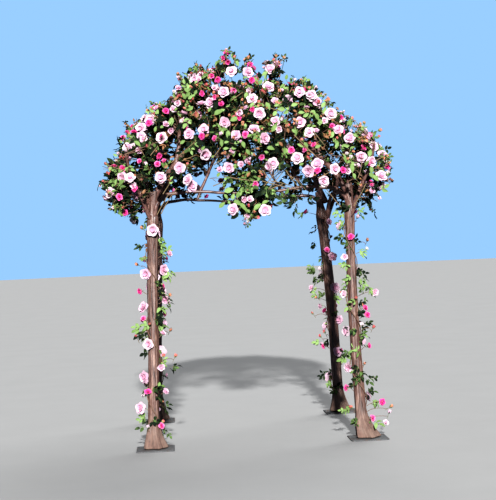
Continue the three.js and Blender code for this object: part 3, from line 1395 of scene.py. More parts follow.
class FoliageSurface:
    """All the clumps of foliage, as triangles that can be sampled and hit by a ray."""

    # Under the dome's front edge a line of sight may miss the front clumps. What the photograph
    # shows there belongs to the front, at this depth.
    front = -1.1
    gap_depth = -0.5
    gap_top = 148.0
    gap_half_width = 90.0

    def __init__(self) -> None:
        """Reads the clumps' meshes."""
        shapes: list[np.ndarray] = []
        self.owner: list[str] = []
        for node in FOLIAGE_NODES:
            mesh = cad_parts[node].data
            mesh.calc_loop_triangles()
            faces = read(mesh.loop_triangles, "vertices", 3, np.int32)
            shapes.append(read(mesh.vertices, "co", 3)[faces])
            self.owner += [node] * len(faces)
        self.triangles = np.concatenate(shapes)
        sides = self.triangles[:, 1:] - self.triangles[:, :1]
        cross = np.cross(sides[:, 0], sides[:, 1])
        self.areas = np.linalg.norm(cross, axis=1) / 2
        self.normals = cross / np.maximum(2 * self.areas, 1e-12)[:, None]
        corners = self.triangles.reshape(-1, 3).tolist()
        self.tree = BVHTree.FromPolygons(corners, np.arange(len(corners)).reshape(-1, 3).tolist())

    def spots(self, density: float, rng: Generator) -> Iterable[Spot]:
        """Random places on the clumps that face open air.

        Args:
            density: How many for each square metre.
            rng: The seeded random generator.

        Yields:
            Each place.
        """
        count = int(density * self.areas.sum())
        chosen = rng.choice(len(self.areas), count, p=self.areas / self.areas.sum())
        shares = rng.random((count, 2))
        for index, (first, second) in zip(chosen, shares):
            if first + second > 1:
                first, second = 1 - first, 1 - second
            corner, along, up = self.triangles[index]
            point = Vector(corner + (along - corner) * first + (up - corner) * second)
            normal = Vector(self.normals[index])
            if self.tree.ray_cast(point + normal * 0.002, normal, 0.04)[0] is None:
                yield Spot(self.owner[index], point, normal)

    def seen(self, pixel: PixelPoint) -> Spot:
        """The place on the foliage that shows at a pixel of the photograph, or nearest to it.

        Args:
            pixel: The pixel.

        Returns:
            The place. Beside the outline it is on the line of sight, off the clump.
        """
        origin, direction = VIEW.ray(pixel)
        point, normal, index, _ = self.tree.ray_cast(origin, direction)
        if point is not None and (point.y < self.gap_depth or pixel[1] < self.gap_top):
            return Spot(self.owner[index], point, normal)
        if pixel[1] > self.gap_top and abs(pixel[0] - CANOPY_MIDDLE[0]) < self.gap_half_width:
            point = VIEW.at_depth(pixel, self.front)
            return Spot(self.owner[self.tree.find_nearest(point)[2]], point, -direction)
        depth = (DOME_MIDDLE - origin).dot(direction)
        near, _, index, _ = self.tree.find_nearest(origin + direction * depth)
        depth = (near - origin).dot(direction)
        point = origin + direction * depth
        return Spot(self.owner[index], point, (point - near).normalized())

    def faces_photo(self, spot: Spot) -> bool:
        """Whether a place shows in the photograph.

        Args:
            spot: The place.

        Returns:
            True if it does.
        """
        origin = Vector(VIEW.place)
        direction = (spot.point - origin).normalized()
        if direction.dot(spot.normal) > -0.1:
            return False
        point = self.tree.ray_cast(origin, direction)[0]
        return point is not None and (point - spot.point).length < 0.05

    def nearest(self, point: Vector) -> Vector:
        """The point of the foliage nearest to a place."""
        return self.tree.find_nearest(point)[0]


# Flowers and leaves


@dataclass(frozen=True)
class PetalRing:
    """One ring of petals, in metres, and how far they lean at base, middle and rim, in degrees."""

    count: int
    length: float
    width: float
    base: float
    middle: float
    rim: float
    across: int = 3
    rounding: float = 0.12
    start_radius: float = 0.004

    def lean(self, share: float) -> float:
        """How far a petal leans from upright a share of the way from its base to its rim.

        Args:
            share: The share.

        Returns:
            The angle, in degrees.
        """
        lower = (self.middle - self.base) * min(1.0, 2 * share)
        upper = (self.rim - self.middle) * max(0.0, 2 * share - 1)
        return self.base + lower + upper


class Growth(Enum):
    """Everything that grows on the arch."""

    OPEN_PALE = "open pale rose"
    OPEN_HOT = "open hot pink rose"
    HALF_PALE = "half open pale rose"
    HALF_HOT = "half open hot pink rose"
    BUD_CORAL = "coral bud"
    BUD_PINK = "pink bud"
    LIGHT_LEAVES = "light leaves"
    DARK_LEAVES = "dark leaves"


class BloomSlot(Enum):
    """The material slots of every piece that holds flowers."""

    PALE = 0
    HOT = 1
    CORAL = 2
    GREEN = 3
    STEM = 4


@dataclass(frozen=True)
class FlowerPlan:
    """How one kind of flower is made and placed, in metres."""

    rings: tuple[PetalRing, ...]
    slot: BloomSlot
    heart_height: float
    heart_radius: float
    bud: bool = False
    lift: float = 0.035
    to_photo: float = 0.62
    size: float = 0.95


OPEN_RINGS = (
    PetalRing(3, 0.043, 0.062, 74, 6, 48),
    PetalRing(5, 0.049, 0.066, 84, 28, 84),
    PetalRing(5, 0.054, 0.082, 88, 56, 112, across=4, rounding=0.2),
)
SMALL_RINGS = (
    PetalRing(3, 0.030, 0.044, 74, 6, 50, start_radius=0.003),
    PetalRing(4, 0.034, 0.050, 84, 30, 84, start_radius=0.003),
    PetalRing(5, 0.038, 0.058, 88, 56, 108, across=4, rounding=0.2, start_radius=0.003),
)
HALF_RINGS = (
    PetalRing(3, 0.040, 0.050, 62, 0, 14),
    PetalRing(3, 0.043, 0.058, 74, 8, 46),
    PetalRing(5, 0.045, 0.054, 80, 26, 88),
)
BUD_RINGS = (PetalRing(3, 0.035, 0.040, 60, 0, -48, across=2, start_radius=0.003),)

FLOWER_PLANS: dict[Growth, FlowerPlan] = {
    Growth.OPEN_PALE: FlowerPlan(OPEN_RINGS, BloomSlot.PALE, 0.033, 0.019, size=0.91),
    Growth.OPEN_HOT: FlowerPlan(SMALL_RINGS, BloomSlot.HOT, 0.023, 0.013, lift=0.04, size=0.78),
    Growth.HALF_PALE: FlowerPlan(HALF_RINGS, BloomSlot.PALE, 0.038, 0.014, to_photo=0.4, size=0.74),
    Growth.HALF_HOT: FlowerPlan(
        HALF_RINGS, BloomSlot.HOT, 0.038, 0.014, lift=0.03, to_photo=0.4, size=0.62
    ),
    Growth.BUD_CORAL: FlowerPlan(BUD_RINGS, BloomSlot.CORAL, 0.026, 0.005, True, 0.04, 0.1),
    Growth.BUD_PINK: FlowerPlan(BUD_RINGS, BloomSlot.PALE, 0.026, 0.005, True, 0.04, 0.1),
}


@dataclass
class FlowerMaker:
    """Models the flowers, a few variants of each kind."""

    variants: int = 5
    overlap: float = 0.0022
    petal_steps: int = 8
    heart_turns: float = 2.3
    heart_step: float = 0.0045
    sepal_length: float = 0.024
    flower_cup: float = 0.0085
    bud_cup: float = 0.0065
    cup_foot: float = 0.0016
    stalk_length: float = 0.045
    stalk_radius: float = 0.0018

    def petal(self, ring: PetalRing, turn: float, rng: Generator) -> Piece:
        """One petal, cupped round the flower's axis and leaning as its ring does.

        Args:
            ring: The petal's ring.
            turn: Where it stands round the axis, in radians.
            rng: The seeded random generator.

        Returns:
            The petal.
        """
        piece = new_grid("petal", ring.across, 2)
        length = ring.length * rng.uniform(0.88, 1.1)
        tilt = rng.uniform(-13, 13)
        ripple = rng.uniform(-0.006, 0.006)
        steps = self.petal_steps

        def place(point: Vector) -> Vector:
            """A grid point's place on the petal.

            Args:
                point: The grid's point.

            Returns:
                Its place.
            """
            across, along = point.x * 2, point.y + 0.5
            along *= 1 - ring.rounding * across * across * along
            radius, height = ring.start_radius, 0.0
            for i in range(steps):
                lean = math.radians(ring.lean((i + 0.5) / steps * along) + tilt * along)
                radius += math.sin(lean) * length * along / steps
                height += math.cos(lean) * length * along / steps
            wide = ring.width / 2 * (0.35 + 1.5 * along - 1.25 * along**3)
            bend = max(radius, 0.35 * ring.width)
            angle = across * wide / bend
            out = bend * math.cos(angle) - (bend - radius) + self.overlap * across * along
            side = bend * math.sin(angle)
            return Vector((out, side, height + ripple * across * along))

        move_points(piece, place)
        piece.data.transform(Matrix.Rotation(turn, 4, "Z"))
        return piece

    def heart(self, height: float, radius: float) -> Piece:
        """The rolled petals at a flower's middle: a sheet wound in a spiral, its rim raised.

        Args:
            height: How tall the roll is.
            radius: Its radius at its widest.

        Returns:
            The roll.
        """
        piece = new_grid("heart", 15, 1)
        width = radius / self.heart_turns

        def place(point: Vector) -> Vector:
            """A grid point's place on the roll.

            Args:
                point: The grid's point.

            Returns:
                Its place.
            """
            around, along = point.x + 0.5, point.y + 0.5
            out = max(0.0, radius * around + width * (1.3 * along - 1))
            angle = around * self.heart_turns * 2 * math.pi
            top = height * (1 - 0.22 * around) + self.heart_step * (along - 1)
            return Vector((out * math.cos(angle), out * math.sin(angle), top))

        move_points(piece, place)
        return piece

    def sepals(self, radius: float, along_bud: bool) -> list[Piece]:
        """The green cup and its five pointed sepals under a flower.

        Args:
            radius: The cup's radius.
            along_bud: Whether the sepals hug a bud instead of spreading.

        Returns:
            The sepals and the cup.
        """
        pieces = []
        length = self.sepal_length

        def place(point: Vector) -> Vector:
            """A grid point's place on a sepal.

            Args:
                point: The grid's point.

            Returns:
                Its place.
            """
            across, along = point.x * 2, point.y + 0.5
            wide = radius * (0.9 * (1 - along) + 0.04)
            if along_bud:
                out = radius * (0.7 + 1.25 * math.sin(along * 2.2)) + 0.0015
                height = length * along
            else:
                out = radius * 0.6 + length * math.sin(1.4 * along)
                height = -0.004 - 0.4 * length * along**2
            return Vector((out, across * wide, height))

        for i in range(5):
            sepal = new_grid("sepal", 1, 2)
            move_points(sepal, place)
            sepal.data.transform(Matrix.Rotation(i * 2 * math.pi / 5, 4, "Z"))
            pieces.append(sepal)
        cup = open_tube((self.cup_foot, radius * 0.8), radius * 1.6, 5, (0, 0, -radius * 0.6))
        pieces.append(cup)
        for piece in pieces:
            mark(piece, 0.4, BloomSlot.GREEN.value)
        return pieces

    def stalk(self, top: float) -> Piece:
        """The thin stalk below a flower, from a height downwards.

        Args:
            top: The height.

        Returns:
            The stalk.
        """
        middle = (0, 0, top - self.stalk_length / 2)
        stalk = open_tube((self.stalk_radius,) * 2, self.stalk_length, 3, middle)
        mark(stalk, 0.5, BloomSlot.STEM.value)
        return stalk

    def flower(self, plan: FlowerPlan, seed: int) -> Template:
        """One variant of one kind of flower, its face along +Z.

        Args:
            plan: How the kind is made.
            seed: The variant's seed.

        Returns:
            The template.
        """
        rng = np.random.default_rng(seed)
        pieces = [self.heart(plan.heart_height, plan.heart_radius)]
        mark(pieces[0], 0.0, plan.slot.value)
        start = rng.uniform(0, 2 * math.pi)
        for number, ring in enumerate(plan.rings):
            layer = (number + 0.6) / (len(plan.rings) - 0.4)
            for i in range(ring.count):
                turn = start + (i + rng.uniform(-0.2, 0.2)) * 2 * math.pi / ring.count
                pieces.append(self.petal(ring, turn, rng))
                mark(pieces[-1], layer, plan.slot.value)
            start += math.pi / ring.count + 0.4
        cup = self.bud_cup if plan.bud else self.flower_cup
        pieces += self.sepals(cup, plan.bud)
        pieces.append(self.stalk(-cup))
        return Template.of(join(pieces, "flower"))

    def all(self) -> dict[Growth, list[Template]]:
        """Every variant of every kind.

        Returns:
            The variants of each kind.
        """
        made = {}
        for number, (kind, plan) in enumerate(FLOWER_PLANS.items()):
            made[kind] = [self.flower(plan, 100 * number + i) for i in range(self.variants)]
            faces = len(made[kind][0].sizes)
            log.info("%s: %d variants of %d faces", kind.value, self.variants, faces)
        return made


@dataclass
class LeafMaker:
    """Models sprays of rose leaves: a stem with leaflets in pairs and one at the tip."""

    leaflet_length: float = 0.062
    leaflet_width: float = 0.034
    fold: float = 0.007
    droop: float = 0.012
    stem_radius: float = 0.0013
    step: float = 0.034

    def leaflet(self, place: Vector, heading: float, size: float, rng: Generator) -> Piece:
        """One leaflet, folded along its rib and drooping to a pointed tip.

        Args:
            place: Where it joins the stem.
            heading: Which way it points in the spray's plane, in radians.
            size: Its scale.
            rng: The seeded random generator.

        Returns:
            The leaflet.
        """
        piece = new_grid("leaflet", 2, 4)
        roll = rng.uniform(-0.5, 0.5)
        droop = self.droop * rng.uniform(0.2, 2.0)

        def shape(point: Vector) -> Vector:
            """A grid point's place on the leaflet.

            Args:
                point: The grid's point.

            Returns:
                Its place.
            """
            across, along = point.x * 2, point.y + 0.5
            wide = self.leaflet_width / 2 * max(0.0, math.sin(math.pi * along**0.85)) ** 0.9
            height = self.fold * abs(across) * math.sin(math.pi * along) - droop * along**2
            return Vector((along * self.leaflet_length, across * wide, height)) * size

        move_points(piece, shape)
        merge_doubles(piece)
        turn = Matrix.Rotation(heading, 4, "Z") @ Matrix.Rotation(roll, 4, "X")
        piece.data.transform(Matrix.Translation(place) @ turn)
        mark(piece, rng.uniform(0, 1), 0)
        return piece

    def spray(self, pairs: int, seed: int) -> Template:
        """One spray along +X, its leaves facing +Z.

        Args:
            pairs: How many pairs of leaflets it has.
            seed: The variant's seed.

        Returns:
            The template.
        """
        rng = np.random.default_rng(seed)
        length = self.step * (pairs + 0.6)
        tip = Vector((length, 0, 0))
        pieces = [open_tube((self.stem_radius,) * 2, length, 3, (length / 2, 0, 0), math.pi / 2)]
        mark(pieces[0], 0.5, 1)
        for i in range(pairs):
            base = Vector((self.step * (i + 0.8), 0, 0))
            for side in (-1, 1):
                heading = side * rng.uniform(0.75, 1.2)
                pieces.append(self.leaflet(base, heading, rng.uniform(0.62, 1.1), rng))
        pieces.append(self.leaflet(tip, rng.uniform(-0.2, 0.2), rng.uniform(0.95, 1.15), rng))
        return Template.of(join(pieces, "spray"))

    def singles(self) -> list[Template]:
        """Single leaves along +X that face +Z."""
        rngs = (np.random.default_rng(950 + i) for i in range(6))
        return [Template.of(self.leaflet(Vector((0, 0, 0)), 0.0, 1.0, rng)) for rng in rngs]

    def sprays(self) -> list[Template]:
        """Sprays with one and two pairs of leaflets."""
        return [self.spray(pairs, 900 + seed) for seed, pairs in enumerate((1, 1, 1, 2, 2, 2))]


# What the photograph shows of the flowers and leaves, in its pixels


LEAF_SPREAD = 1.6


@dataclass(frozen=True)
class OpenPlace:
    """A stroke in the photograph in which nothing grows, a gap or a bare bough with its depths."""

    start: PixelPoint
    end: PixelPoint
    half_width: float
    depths: Pair = (math.inf, math.inf)
    lit: bool = False

    def depth(self, share: float) -> float:
        """How far back the bough is along Y, a share of the way along the stroke."""
        first, last = self.depths
        return first if first == last else first + (last - first) * share

    def lit_points(self) -> list[tuple[PixelPoint, Vector]]:
        """Pixels and places along a sunlit bough, and none along any other stroke.

        Returns:
            Each pixel and its place.
        """
        start, end = Vector(self.start), Vector(self.end)
        steps = max(1, round((end - start).length / 4)) if self.lit else -1
        found = []
        for i in range(steps + 1):
            pixel = start.lerp(end, i / steps)
            found.append((tuple(pixel), VIEW.at_depth(pixel, self.depth(i / steps))))
        return found

    def holds(self, pixel: PixelPoint, depth: float) -> bool:
        """Whether a place lies in the stroke and in front of its bough.

        Args:
            pixel: The pixel in which the place shows.
            depth: How far back it is, along Y.

        Returns:
            True if it does.
        """
        start, end, spot = Vector(self.start), Vector(self.end), Vector(pixel)
        along = end - start
        share = clamped((spot - start).dot(along) / max(along.length_squared, 1e-6))
        aside = (spot - start - along * share).length
        return aside < self.half_width + LEAF_SPREAD and depth < self.depth(share)


# Each gap has both ends of a stroke and its half width, and each sunlit bough its depths too.
GAPS = (
    (210, 174, 207, 187, 2.6), (202, 176, 200, 186, 3.5), (195, 129, 196, 135, 2.0),
    (200, 109, 201, 114, 2.0), (172, 141, 172, 151, 2.2), (148, 131, 148, 137, 2.0),
    (152, 134, 153, 137, 1.4), (134, 165, 138, 165, 3.2), (127, 157, 130, 159, 2.0),
    (153, 109, 155, 113, 1.8), (207, 79, 208, 83, 1.4), (228, 78, 243, 80, 3.6), (256, 64, 260, 71, 2.6),
    (263, 80, 266, 81, 1.8), (289, 80, 291, 87, 2.2), (280, 111, 282, 117, 2.4), (286, 111, 288, 113, 1.8),
    (291, 121, 293, 122, 1.2), (312, 120, 314, 130, 2.4), (250, 149, 254, 149, 1.4),
    (343, 119, 345, 124, 2.2), (348, 131, 356, 129, 2.4), (353, 151, 357, 150, 2.4),
    (338, 152, 337, 162, 2.6), (373, 155, 377, 154, 2.2), (331, 141, 332, 145, 1.4),
    (366, 169, 366, 175, 2.0), (216, 161, 217, 165, 2.0), (237, 170, 243, 168, 2.2),
    (216, 170, 220, 168, 2.6), (230, 186, 232, 187, 1.2), (270, 174, 273, 176, 1.8),
    (268, 182, 274, 184, 1.8), (284, 174, 289, 186, 1.8), (305, 190, 309, 196, 2.5),
    (131, 199, 133, 201, 1.4), (348, 138, 350, 141, 1.4), (325, 107, 326, 111, 1.4),
    (217, 172, 221, 176, 2.4), (239, 73, 246, 73, 1.6), (262, 74, 268, 77, 1.6), (283, 77, 286, 79, 1.6),
    (219, 84, 214, 86, 1.3), (257, 90, 259, 94, 1.4), (241, 96, 243, 100, 1.2), (263, 110, 265, 113, 1.2),
    (296, 103, 298, 106, 1.2), (213, 96, 215, 99, 1.2), (271, 92, 273, 95, 1.2),
)  # fmt: skip
LIT_BOUGHS = (
    (154, 218, 157, 188, 6.0, -0.8, -0.8), (164, 193, 222, 193, 4.0, -0.86, -0.88),
    (201, 189, 215, 162, 3.0, -0.87, -0.89), (177, 166, 181, 130, 3.0, -0.62, -0.52),
    (347, 222, 347, 186, 5.0, -0.82, -0.8), (338, 178, 310, 147, 4.5, -0.74, -0.52),
    (276, 190, 330, 188, 3.0, -0.88, -0.86), (297, 187, 288, 168, 3.0, -0.87, -0.89),
    (137, 196, 146, 212, 2.0, -0.86, -0.82), (155, 218, 162, 192, 2.0, -0.8, -0.8),
    (354, 202, 362, 178, 2.5, -0.84, -0.9),
)  # fmt: skip
OPEN_PLACES = (
    *(OpenPlace((x0, y0), (x1, y1), wide) for x0, y0, x1, y1, wide in GAPS),
    OpenPlace((337, 192), (341, 199), 2.5, (0.6, 0.6)),
    OpenPlace((166, 206), (219, 208), 7.0),
    OpenPlace((276, 214), (300, 216), 7.0),
    OpenPlace((322, 216), (318, 192), 5.0, (0.85, 0.85)),
    OpenPlace((308, 146), (280, 130), 2.0, (-0.5, -0.3)),
    *(
        OpenPlace((x0, y0), (x1, y1), wide, (first, last), lit=True)
        for x0, y0, x1, y1, wide, first, last in LIT_BOUGHS
    ),
)

CANOPY_OUTLINE = (
    (98, 186), (101, 166), (116, 163), (117, 150), (118, 132), (122, 122), (131, 120), (144, 110),
    (151, 102), (163, 102), (173, 92), (176, 77), (192, 67), (200, 63), (211, 66), (217, 60), (221, 52),
    (228, 46), (236, 54), (241, 63), (246, 55), (255, 58), (262, 64), (273, 53), (285, 56), (285, 74),
    (292, 78), (302, 77), (312, 84), (320, 92), (329, 98), (336, 106), (343, 112), (354, 115), (363, 126),
    (374, 130), (382, 144), (386, 154), (393, 157), (393, 168), (388, 180), (381, 198), (375, 213),
    (358, 220), (350, 208), (338, 226), (328, 214), (318, 208), (306, 217), (298, 209), (282, 206),
    (271, 206), (265, 215), (250, 224), (234, 214), (222, 208), (214, 200), (200, 206), (182, 205),
    (166, 197), (150, 216), (138, 229), (126, 220), (111, 213), (102, 200),
)  # fmt: skip
CANOPY_MIDDLE = (248.0, 185.0)


def in_outline(pixel: PixelPoint, margin: float = 0.0) -> bool:
    """Whether a pixel lies inside the outline of the photographed foliage.

    Args:
        pixel: The pixel.
        margin: How far inside the outline it has to be, in pixels, away from the middle.

    Returns:
        True if it does.
    """
    away = Vector(pixel) - Vector(CANOPY_MIDDLE)
    x, y = Vector(pixel) + away.normalized() * margin
    inside = False
    for (x0, y0), (x1, y1) in zip(CANOPY_OUTLINE, CANOPY_OUTLINE[1:] + CANOPY_OUTLINE[:1]):
        if (y0 > y) != (y1 > y) and x < x0 + (y - y0) * (x1 - x0) / (y1 - y0):
            inside = not inside
    return inside


def in_open_place(pixel: PixelPoint, depth: float) -> bool:
    """Whether a place that shows in a pixel, so far back along Y, has to stay open."""
    return any(place.holds(pixel, depth) for place in OPEN_PLACES)


# Sprigs that stick out of the foliage, from inside it to the tip, and stems that cross it

OUTLINE_SPRIGS = (
    ((136, 134), (130, 126), (124, 123)), ((128, 140), (122, 137)), ((124, 160), (117, 152)),
    ((124, 170), (113, 168), (104, 163)), ((122, 184), (110, 182), (101, 181)), ((116, 196), (107, 191)),
    ((130, 204), (119, 208), (111, 208)), ((158, 118), (151, 112), (146, 109)),
    ((168, 112), (160, 106), (155, 103)), ((182, 100), (176, 97)), ((188, 88), (182, 79), (177, 72)),
    ((203, 76), (199, 69), (196, 63)), ((210, 76), (207, 68)), ((228, 66), (226, 58), (226, 49)),
    ((234, 68), (235, 60), (234, 55)), ((251, 72), (249, 62), (248, 56)), ((272, 76), (277, 64), (276, 54)),
    ((276, 68), (281, 61), (285, 56)), ((290, 92), (294, 85), (295, 78)), ((304, 94), (303, 84), (301, 78)),
    ((310, 94), (309, 86)), ((322, 112), (327, 104), (329, 98)), ((338, 122), (342, 115)),
    ((346, 128), (350, 121), (353, 117)), ((356, 132), (361, 125)), ((368, 142), (372, 132)),
    ((376, 154), (384, 150)), ((372, 162), (381, 158), (388, 155)), ((374, 172), (384, 168), (390, 162)),
    ((368, 186), (377, 192), (380, 199)), ((362, 194), (368, 204), (371, 211)),
    ((240, 206), (237, 212), (233, 217)), ((246, 208), (248, 217), (248, 223)),
)  # fmt: skip
CROSSING_STEMS = (
    ((171, 163), (184, 151), (196, 141)), ((182, 161), (196, 155)), ((213, 158), (218, 151), (222, 146)),
    ((214, 165), (223, 158), (232, 154)), ((272, 181), (284, 183), (294, 187)), ((213, 186), (226, 181)),
    ((299, 143), (309, 150), (318, 158)), ((294, 135), (304, 145), (315, 155)),
    ((313, 131), (319, 138), (325, 146)), ((163, 194), (170, 183)), ((139, 147), (144, 155)),
    ((268, 190), (283, 184)), ((146, 137), (141, 148)), ((262, 170), (272, 182)), ((246, 152), (262, 146)),
    ((358, 178), (363, 166), (362, 154)), ((318, 178), (330, 172)), ((190, 116), (201, 108)),
    ((270, 108), (283, 112)), ((232, 100), (243, 92)), ((150, 156), (158, 146)), ((306, 108), (316, 116)),
    ((262, 181), (280, 186), (300, 190)), ((268, 190), (276, 180), (283, 172)),
    ((283, 166), (290, 178), (300, 189)), ((290, 176), (300, 182), (306, 190)),
    ((264, 186), (273, 176), (279, 170)), ((224, 176), (240, 180), (258, 181)),
    ((341, 207), (333, 198), (325, 187)), ((157, 215), (163, 203), (170, 192)),
    ((161, 214), (167, 201), (177, 188)), ((354, 206), (360, 196), (366, 184)),
)  # fmt: skip


Seen = dict[Growth, tuple[PixelPoint, ...]]

SEEN_CANOPY: Seen = {
    Growth.OPEN_PALE: (
        (231, 70), (223, 91), (201, 101), (209, 102), (185, 123), (188, 134), (161, 137), (224, 123),
        (235, 134), (205, 155), (179, 168), (160, 177), (121, 178), (130, 176), (127, 146), (140, 128),
        (228, 168), (186, 179), (193, 186), (203, 129), (109, 192), (194, 79), (249, 71), (270, 68),
        (269, 85), (299, 91), (287, 99), (277, 100), (252, 97), (312, 95), (318, 101), (259, 114),
        (275, 121), (300, 122), (331, 113), (309, 131), (338, 128), (254, 127), (266, 138), (297, 157),
        (368, 136), (362, 156), (349, 137), (375, 145), (267, 167), (273, 163), (308, 172), (336, 169),
        (325, 181), (373, 161), (382, 174), (265, 210), (232, 209), (142, 134), (150, 119), (317, 163),
    ),
    Growth.OPEN_HOT: (
        (228, 63), (218, 80), (234, 91), (203, 93), (148, 122), (166, 110), (201, 136), (213, 138),
        (157, 163), (133, 188), (120, 196), (146, 209), (122, 137), (126, 213), (245, 134), (250, 63),
        (278, 64), (331, 126), (291, 150), (344, 169), (317, 169), (365, 148), (256, 184), (388, 166),
        (262, 158), (160, 157), (123, 169), (252, 80), (371, 134), (342, 118), (226, 52),
    ),
    Growth.HALF_PALE: (
        (155, 106), (171, 131), (138, 150), (199, 152), (197, 78), (233, 149), (240, 113), (279, 129),
        (325, 120), (349, 172), (309, 93), (240, 164), (178, 86), (380, 150), (371, 190), (166, 122),
        (143, 138), (132, 186), (247, 91), (229, 158), (317, 128), (243, 200), (250, 198), (247, 217),
        (248, 162), (219, 168), (177, 103), (174, 108), (200, 73), (214, 86), (212, 69), (244, 105),
        (172, 99),
    ),
    Growth.HALF_HOT: (
        (221, 103), (252, 110), (139, 160), (152, 107), (303, 149), (312, 144), (307, 88), (371, 182),
        (164, 158), (240, 117), (277, 62), (369, 162), (222, 58), (215, 96), (237, 113), (212, 75),
    ),
    Growth.BUD_CORAL: (
        (180, 80), (176, 97), (129, 126), (123, 156), (107, 170), (199, 84), (195, 72), (206, 70),
        (214, 75), (222, 153), (255, 136), (249, 166), (114, 207), (142, 193), (295, 84), (328, 102),
        (383, 158), (347, 154), (366, 199), (243, 88), (261, 92), (276, 58), (232, 116), (249, 59),
        (309, 154), (329, 134), (147, 146), (185, 162), (289, 131), (222, 63), (152, 115), (254, 211),
        (188, 84), (345, 118), (306, 140), (352, 124), (137, 176), (157, 150), (217, 92), (262, 126),
        (386, 172), (299, 112), (251, 187), (248, 208), (205, 70), (231, 84), (247, 57), (182, 98),
        (176, 96), (243, 119), (208, 74), (184, 104), (203, 84), (191, 96), (188, 108),
    ),
    Growth.BUD_PINK: (
        (156, 108), (133, 157), (102, 184), (316, 87), (372, 134), (353, 129), (217, 98), (248, 223),
        (387, 162), (238, 141), (252, 157), (144, 211), (283, 118), (247, 184),
    ),
    Growth.DARK_LEAVES: (
        (137, 197), (142, 203), (131, 166), (134, 174), (130, 158), (146, 196), (353, 188), (178, 80),
        (199, 67), (275, 57), (284, 60), (301, 81), (328, 101), (353, 118), (391, 160), (103, 169),
        (123, 126), (150, 105), (221, 56), (294, 82), (366, 130), (161, 106), (380, 148), (391, 172),
        (379, 196), (371, 208), (186, 73), (110, 206), (127, 217), (246, 60), (144, 113), (237, 57),
        (341, 114), (270, 171), (277, 176), (284, 177), (291, 178), (297, 176), (281, 192), (287, 195),
        (275, 193), (235, 217), (258, 192), (268, 193), (274, 198), (293, 193), (299, 199), (305, 199),
        (283, 200), (291, 200), (216, 182), (222, 181), (232, 177), (240, 178), (248, 180), (256, 177),
        (235, 185), (265, 178), (266, 186), (305, 178), (309, 184), (303, 170), (296, 183), (276, 186),
        (227, 161), (236, 159), (255, 168), (281, 168), (289, 166),
    ),
}  # fmt: skip


class LeafShade(Enum):
    """The shades of single leaves that the photograph shows: partly their own greens, partly painted light
    and shade.
    """

    BRIGHT = 0.64
    OLIVE = 0.4
    DEEP = 0.2
    # Near-black leaves: painted shade.
    BLACK = -0.2
    COPPER = 1.0


